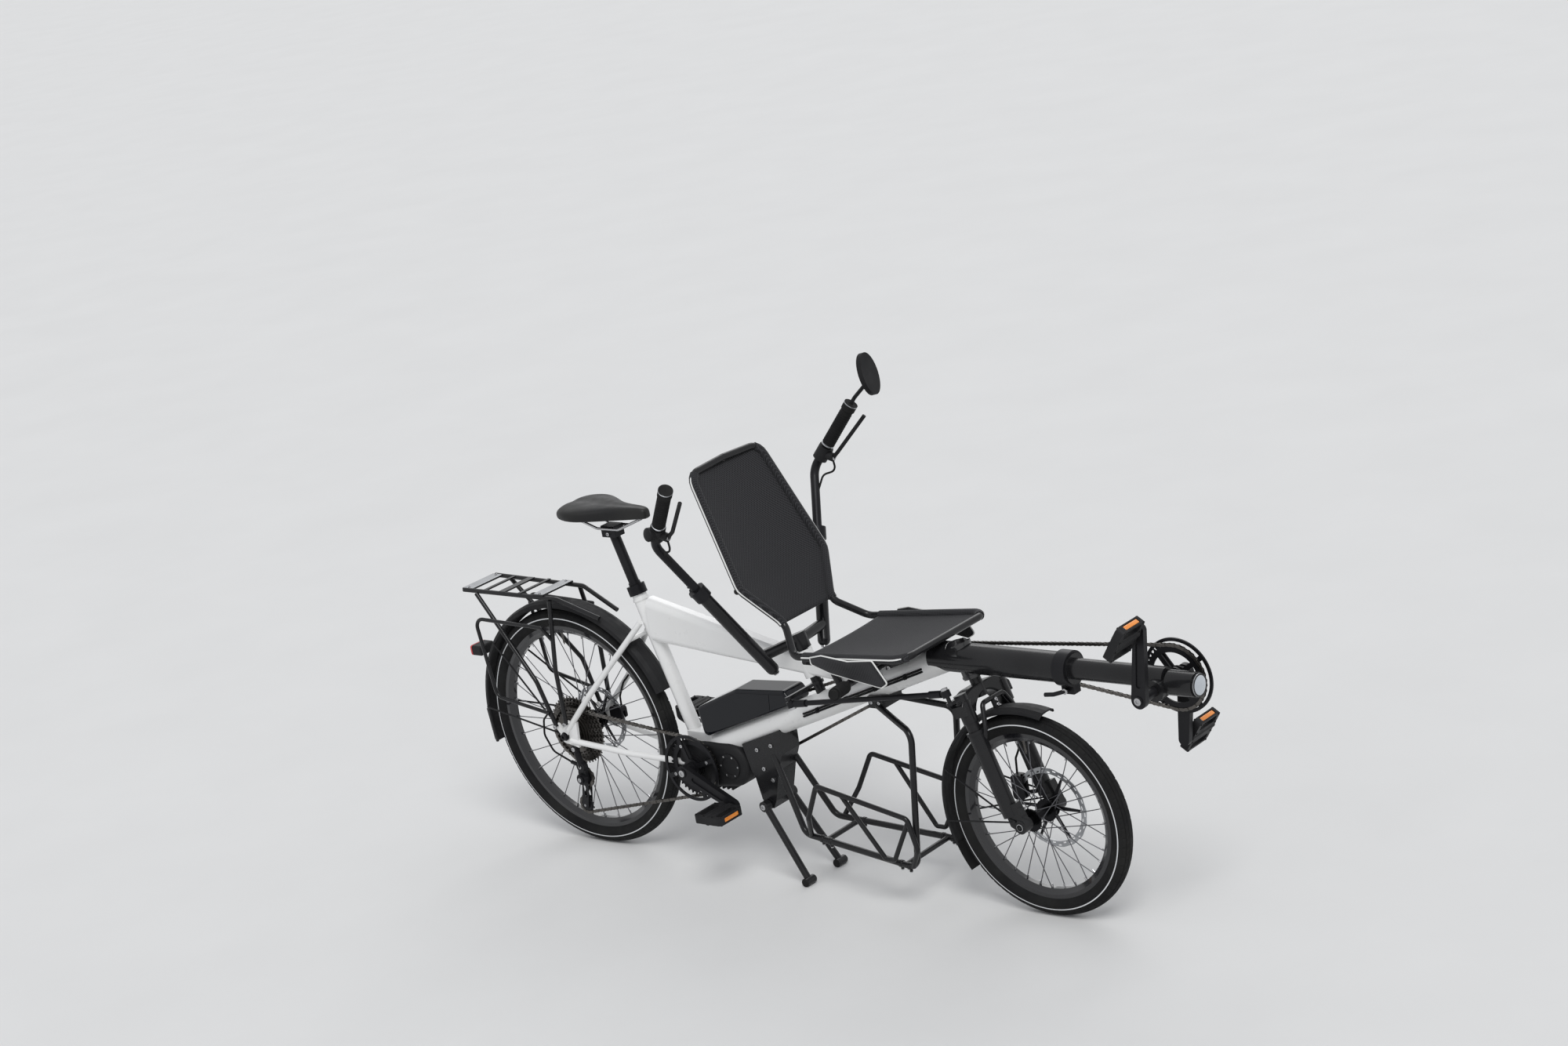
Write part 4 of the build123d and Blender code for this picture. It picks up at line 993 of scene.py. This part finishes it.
def flat_ring(build, centre, y, radii, steps, material, hole=None, wave=0.0):
    """A flat ring of cells, steps round it and one between each two radii. Hole says which
    cells are open, and wave is how deep the outer edge dips once in each ten cells."""
    rows = len(radii)

    def solid(k, j):
        return 0 <= j < rows - 1 and not (hole and hole(k % steps, j))

    def at(side, k, j):
        return (side * steps + k % steps) * rows + j

    verts = []
    for side in SIDES:
        for k in range(steps):
            dip = wave * (0.5 - 0.5 * math.cos(TAU * k / WAVE_CELLS))
            for r in radii[:-1] + (radii[-1] - dip,):
                x, z = around(centre, r, 360 * k / steps)
                verts.append((x, y + side * DISC_HALF, z))
    faces = []
    for k in range(steps):
        for j in range(rows - 1):
            if not solid(k, j):
                continue
            low = (at(0, k, j), at(0, k, j + 1), at(0, k + 1, j + 1), at(0, k + 1, j))
            high = (at(1, k, j), at(1, k, j + 1), at(1, k + 1, j + 1), at(1, k + 1, j))
            faces += [low, high[::-1]]
            for i, (k_by, j_by) in enumerate(((k - 1, j), (k, j + 1), (k + 1, j), (k, j - 1))):
                if not solid(k_by, j_by):
                    m = (i + 1) % 4
                    faces.append((low[m], low[i], high[i], high[m]))
    build.add(verts, faces, material)


def slotted(k, j):
    """Two rows of slots in the track, three cells long, half a wave apart."""
    return (j == 1 and k % WAVE_CELLS in (1, 2, 3)) or (j == 3 and k % WAVE_CELLS in (6, 7, 8))


def brake_disc(end, centre, y, r, bore):
    """A steel track with a waved edge and two rows of slots, riveted to a black spider."""
    build = Build()
    inner = r - TRACK
    flat_ring(build, centre, y, (inner, r - 12.5, r - 9, r - 7, r - 3.5, r), 180, 0, slotted,
              WAVE_DEPTH)
    flat_ring(build, centre, y, (bore, DISC_HUB), 60, 1)
    start = Vector((centre[0], y, centre[1]))
    root = DISC_HUB - 2
    tip = inner + 3.5
    for k in range(6):
        out = Vector((math.cos(TAU * k / 6), 0, math.sin(TAU * k / 6)))
        build.plate([(root, -5.5), (tip, -3), (tip, 3), (root, 5.5)], out, ACROSS.cross(out),
                    ACROSS, start, 1.6, 1)
        rivet = start + out * (inner + 1)
        build.rod(rivet - ACROSS * 1.6, rivet + ACROSS * 1.6, 2.6, 14, 2)
    obj = build.finish(end + "_brake_disc", end + "_wheel", [BRUSHED, ALLOY, STEEL])
    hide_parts(end + "_rotor")


brake_disc("front", FRONT, 43, 101, 13)
brake_disc("rear", REAR, 57, 90, 11)


# rear rack: the bare end plates of its deck, and the lamps' lens and ring

RACK_TOP = 716
DECK_ENDS = ((-288, 40), (-20, 38))
DECK_W = 112


def deck_plates():
    build = Build()
    places = []
    for x, width in DECK_ENDS:
        pad(build, (x, 0, RACK_TOP), (1, 0, 0), (0, 1, 0), (width - 2, DECK_W), 0.5, 6, 0.3)
        places += [((x, side * 50, RACK_TOP + 0.8), (0, 0, 1), 4, 2) for side in SIDES]
    build.finish("rack_deck_plates", "frame", BRUSHED, angle=60)
    bolts("rack_deck_bolts", "frame", places)


deck_plates()

TAIL_LAMP = (-360.2, 0, 520)
tail = Build()
pad(tail, TAIL_LAMP, (0, -1, 0), (0, 0, 1), (54.8, 28.8), 5.0, 7, 1.6)
tail.finish("tail_lamp_lens", "frame", RED, angle=60)
bezel = Build()
ring_band(bezel, (HEADLIGHT[0] - 1, 0, HEADLIGHT[2]), (1, 0, 0), 26.4, 3.0, 1.8)
bezel.finish("headlight_ring", "frame", BRUSHED, angle=50)


# pedals: an amber reflector in each end's pocket

# each pedal's crank axle, crank angle, side and tilt
PEDALS = (("rear_pedal_right", BB, RIGHT_CRANK, -1, 0),
          ("rear_pedal_left", BB, RIGHT_CRANK + 180, 1, 0),
          ("front_pedal_right", BOOM_BB, FRONT_RIGHT_CRANK, -1, 55),
          ("front_pedal_left", BOOM_BB, FRONT_RIGHT_CRANK + 180, 1, 55))
PEDAL_Y = 152
POCKET = 43.1


def pedal_reflectors(name, centre, crank_angle, side, tilt):
    x, z = around(centre, CRANK, crank_angle)
    middle = Vector((x, side * PEDAL_Y, z))
    t = math.radians(tilt)
    along = Vector((math.cos(t), 0, math.sin(t)))
    build = Build()
    for way in SIDES:
        across = Vector((0, way, 0))
        up = (along * way).cross(across)
        pad(build, middle + along * (way * POCKET), across, up, (51, 10.6), 1.6, 2.4, 0.8)
    build.finish(name + "_reflectors", name, AMBER, angle=50)


for pedal in PEDALS:
    pedal_reflectors(*pedal)


# rear rider's bar: grip ribs, pod caps, clamp knobs, arm ends, rod nuts and mirror glass

ARM_FOOT = (808, -100, 598)
ARM_HEAD = (736, -228, 839)
BEND = tuple(a + (b - a) * 1.565 for a, b in zip(ARM_FOOT, ARM_HEAD))
TIP = (812, -345, 1130)
# shares of the way from bend to tip. A ring also has its radius, width and lip.
GRIP_START = 0.41
GRIP_LENGTH = 0.5
GRIP_RINGS = ((0.385, 17.2, 5, 1.6), (1.015, 18.4, 3.5, 1.2))
POD = 0.24
# where the clamp sits, as a share of the way up the arm
CLAMP = 0.965
NUT_OUT = 28.6
MIRROR_AT = Vector((896, 328, 1216))
MIRROR_HALF_W = 29
MIRROR_HALF_H = 51
MIRROR_SIDES = 48


def on_side(p, side):
    return Vector((p[0], -side * p[1], p[2]))


def bar_trim(side):
    name = side_name(side)
    a = on_side(BEND, side)
    b = on_side(TIP, side)
    way = (b - a).normalized()
    length = (b - a).length
    ribs = Build()
    for k in range(int(GRIP_LENGTH * length / GRIP_PITCH)):
        ring_band(ribs, a + way * (GRIP_START * length + k * GRIP_PITCH), way, 16.7, 3.6, 1.2)
    ribs.finish("grip_ribs_" + name, "handlebar", RUBBER)
    rings = Build()
    for share, r, width, lip in GRIP_RINGS:
        ring_band(rings, a + way * (share * length), way, r, width, lip)
    rings.finish("grip_rings_" + name, "handlebar", BRUSHED)
    pod = a + (b - a) * POD
    out = Vector((-6, side * 26, 4))
    lens("pod_cap_" + name, pod + out, out, 16.6, 5, PLASTIC, "handlebar")
    low = on_side(ARM_FOOT, side)
    high = on_side(ARM_HEAD, side)
    down = (low - high).normalized()
    bolts("bar_bolts_" + name, "handlebar",
          [(pod + Vector((30, side * 5.2, -12)), (0, side, 0), 3.6, 2.4),
           (pod + Vector((34, 0, -10)), (34, 0, -10), 6.5, 3),
           (low + down * 15.6, down, 8, 3)])
    clamp = low + (high - low) * CLAMP
    knob = Build()
    knob.rod(clamp + Vector((-26, 0, 14)), clamp + Vector((-26, 0, 30)), 10, 20, r_end=8.5)
    knob.rod(clamp + Vector((-20, -side * 12, 0)), clamp + Vector((-20, side * 12, 0)), 6, 16)
    knob.finish("clamp_knob_" + name, "handlebar", PLASTIC, angle=50)


bar_trim(1)
bar_trim(-1)


def rod_nuts():
    """A nut on each pin of the steering rod: the front one rides on the fork's arm."""
    arm = Vector((0, -LEVER, 0))
    front = at_height(STEER_BASE, 566) + arm + UP * NUT_OUT
    rear = at_height(BAR_BASE, 532) + arm - UP * NUT_OUT
    for label, body, at, way in (("front_rod_nut", "fork", front, UP),
                                 ("rear_rod_nut", "handlebar", rear, -UP)):
        nut = Build()
        nut.rod(at, at + way * 5.5, 8.5, 6)
        nut.finish(label, body, STEEL, smooth=False)


rod_nuts()


def mirror_glass():
    face = Vector((-0.97, -0.1, -0.2)).normalized()
    across = (ACROSS - face * ACROSS.dot(face)).normalized()
    up = face.cross(across)
    rim = circle(MIRROR_AT + face * 0.5, across * MIRROR_HALF_W, up * MIRROR_HALF_H, 1,
                 MIRROR_SIDES)
    build = Build()
    build.add(rim, [tuple(range(MIRROR_SIDES))])
    build.finish("mirror_glass", "handlebar", MIRROR_GLASS, smooth=False)


mirror_glass()


# front rider's grips, stand feet, battery lock, seat straps and the front guard's flap


def hand_grip_ribs(side):
    start = Vector((1118, side * 192, 612))
    way = (Vector((1142, side * 258, 622)) - start).normalized()
    build = Build()
    for k in range(9):
        ring_band(build, start + way * (6 + k * GRIP_PITCH), way, 15.7, 3.6, 1.2)
    build.finish("hand_grip_ribs_" + side_name(side), "frame", RUBBER)


hand_grip_ribs(-1)
hand_grip_ribs(1)

STAND_REACH = 225
STAND_ANGLE = -60
FOOT_R = 11
FOOT_ENDS = ((46, -1), (78, 1))


def foot_caps():
    """Rubber caps on both ends of each foot of the stand."""
    x = around(STAND_PIVOT, STAND_REACH, STAND_ANGLE)[0]
    build = Build()
    for side in SIDES:
        for y, way in FOOT_ENDS:
            build.rod((x, side * y, FOOT_R), (x, side * (y + way * 2.5), FOOT_R), 10.8, 28,
                      r_end=9.4)
    build.finish("stand_foot_caps", "stand", RUBBER, angle=50)


foot_caps()


def battery_lock():
    """A lock's round face on the battery's left, with its cylinder in the middle."""
    build = Build()
    build.rod((500, 41.5, 408), (500, 42.3, 408), 6.2, 28)
    build.rod((500, 42.3, 408), (500, 42.8, 408), 3.2, 20, material=1)
    build.finish("battery_lock", "frame", [STEEL, DARK_STEEL], angle=50)


battery_lock()

STRAPS = (210, 335, 455)
STRAP_HALF = 11
STRAP_STEPS = 13
STRAP_THICK = 1.6
BUCKLE_STEP = 4


def mesh_straps():
    """Webbing behind the seat that pulls its two side tubes together, with a buckle each."""
    webbing = Build()
    buckles = Build()
    for reach in STRAPS:
        left, right = (stretch(seat_side(side), reach - STRAP_HALF, reach + STRAP_HALF, 2)
                       for side in (1, -1))
        steps = []
        for k in range(STRAP_STEPS):
            t = k / (STRAP_STEPS - 1)
            out = BACK_WAY * (9 + 14 * (1 - (2 * t - 1) ** 2))
            steps.append([a + (b - a) * (0.03 + 0.94 * t) + out for a, b in zip(left, right)])
        verts = []
        for upper, lower in steps:
            verts += [lower, upper, upper + BACK_WAY * STRAP_THICK,
                      lower + BACK_WAY * STRAP_THICK]
        webbing.add(verts, walls(STRAP_STEPS, 4))
        upper, lower = steps[BUCKLE_STEP]
        along = steps[BUCKLE_STEP + 1][0] - steps[BUCKLE_STEP - 1][0]
        pad(buckles, (upper + lower) / 2 + BACK_WAY * 1.4, along, upper - lower, (34, 27), 2.0,
            4, 1.2)
    webbing.finish("seat_straps", "frame", WEBBING, angle=50)
    buckles.finish("seat_buckles", "frame", PLASTIC, angle=50)


mesh_straps()

FLAP_STEPS = 6
FLAP_THICK = 2.4
# the front guard's lip: places across it, and how far each lies from the axle
LIP = ((-29, 262), (-27, 267), (-15, 272), (0, 273), (15, 272), (27, 267), (29, 262))
LIP_ANGLE = 76


def guard_flap():
    """The front guard's rubber flap, and the rolled lip at its front end."""
    flap = Build()
    spots = [around(FRONT, 266 + 0.9 * k, 201 + 2.6 * k) for k in range(FLAP_STEPS + 1)]
    for k in range(FLAP_STEPS):
        x, z = spots[k]
        x_next, z_next = spots[k + 1]
        out = Vector((z_next - z, 0, x - x_next)).normalized()
        if out.dot(Vector((x - FRONT[0], 0, z - FRONT[1]))) < 0:
            out = -out
        half = 25 - 0.5 * k
        low = [Vector((x, -half, z)), Vector((x_next, -half + 0.5, z_next)),
               Vector((x_next, half - 0.5, z_next)), Vector((x, half, z))]
        flap.add(low + [q + out * FLAP_THICK for q in low], ends(2, 4) + walls(2, 4))
    flap.finish("front_guard_flap", "fork", RUBBER, angle=30)
    lip = Build()
    edge = []
    for y, r in LIP:
        x, z = around(FRONT, r, LIP_ANGLE)
        edge.append((x, y, z))
    lip.tube(edge, 2.2, 10)
    lip.finish("front_guard_lip", "fork", PLASTIC, angle=60)


guard_flap()


# stage, light and camera

FLOOR_REACH = 60
FLOOR_TONES = ((0.72, 0.72, 0.71), (0.70, 0.70, 0.69))
STUDIO_LIGHT = (0.93, 0.95, 1.0, 1.0)
STUDIO_STRENGTH = 0.55
BACKDROP = (0.735, 0.74, 0.75, 1.0)


def stage():
    a = FLOOR_REACH
    data = bpy.data.meshes.new("floor")
    data.from_pydata([(-a, -a, 0), (a, -a, 0), (a, a, 0), (-a, a, 0)], [], [(0, 1, 2, 3)])
    m, tree, shader, where = new_material("floor_finish")
    shade = mixed(tree, to_range(tree, noise(tree, where, 2.0), 0, 1), *FLOOR_TONES)
    tree.links.new(shade, shader.inputs["Base Color"])
    shader.inputs["Roughness"].default_value = 0.85
    data.materials.append(m)
    floor = put("floor", data)


def sun(name, aim, strength, softness):
    """A lamp as far as the sun, that shines along aim."""
    data = bpy.data.lights.new(name, "SUN")
    data.energy = strength
    data.angle = softness
    lamp = put(name, data)
    lamp.rotation_euler = Vector(aim).to_track_quat("-Z", "Y").to_euler()


def world():
    """Soft light on the object, and a pale backdrop for the camera, metal and glass."""
    w = bpy.data.worlds.new("studio")
    bpy.context.scene.world = w
    w.use_nodes = True
    tree = w.node_tree
    back = tree.nodes["Background"]
    fill(back, {"Color": STUDIO_LIGHT, "Strength": STUDIO_STRENGTH})
    seen = tree.nodes.new("ShaderNodeBackground")
    fill(seen, {"Color": BACKDROP, "Strength": 1.0})
    rays = tree.nodes.new("ShaderNodeLightPath")
    straight = rays.outputs["Is Camera Ray"]
    for kind in ("Is Glossy Ray", "Is Transmission Ray"):
        either = tree.nodes.new("ShaderNodeMath")
        either.operation = "MAXIMUM"
        tree.links.new(straight, either.inputs[0])
        tree.links.new(rays.outputs[kind], either.inputs[1])
        straight = either.outputs["Value"]
    mix = tree.nodes.new("ShaderNodeMixShader")
    tree.links.new(straight, mix.inputs["Fac"])
    tree.links.new(back.outputs["Background"], mix.inputs[1])
    tree.links.new(seen.outputs["Background"], mix.inputs[2])
    tree.links.new(mix.outputs["Shader"], tree.nodes["World Output"].inputs["Surface"])


PHOTO_W = 2000
SENSOR = 36.0
FOCAL_PIXELS = 3868.54
EYE = (4.86525894, -5.13016067, 2.92157411)
RIGHT_WAY = (0.74950334, 0.63797552, -0.17672575)
DOWN_WAY = (0.04893947, -0.31962402, -0.94627978)
VIEW_WAY = (-0.66018912, 0.70059098, -0.27078145)


def camera():
    data = bpy.data.cameras.new("camera")
    data.sensor_fit = "HORIZONTAL"
    data.sensor_width = SENSOR
    data.lens = FOCAL_PIXELS / PHOTO_W * SENSOR
    data.clip_end = 200
    cam = put("camera", data)
    x = Vector(RIGHT_WAY)
    y = -Vector(DOWN_WAY)
    z = -Vector(VIEW_WAY)
    turn = Matrix((x, y, z)).transposed().to_4x4()
    cam.matrix_world = Matrix.Translation(EYE) @ turn
    bpy.context.scene.camera = cam


stage()
sun("key", (-0.55, 0.45, -1.0), 1.5, 0.5)
sun("rim", (0.5, -0.9, -0.7), 0.45, 0.6)
world()
camera()
bpy.context.scene.view_settings.view_transform = "Standard"
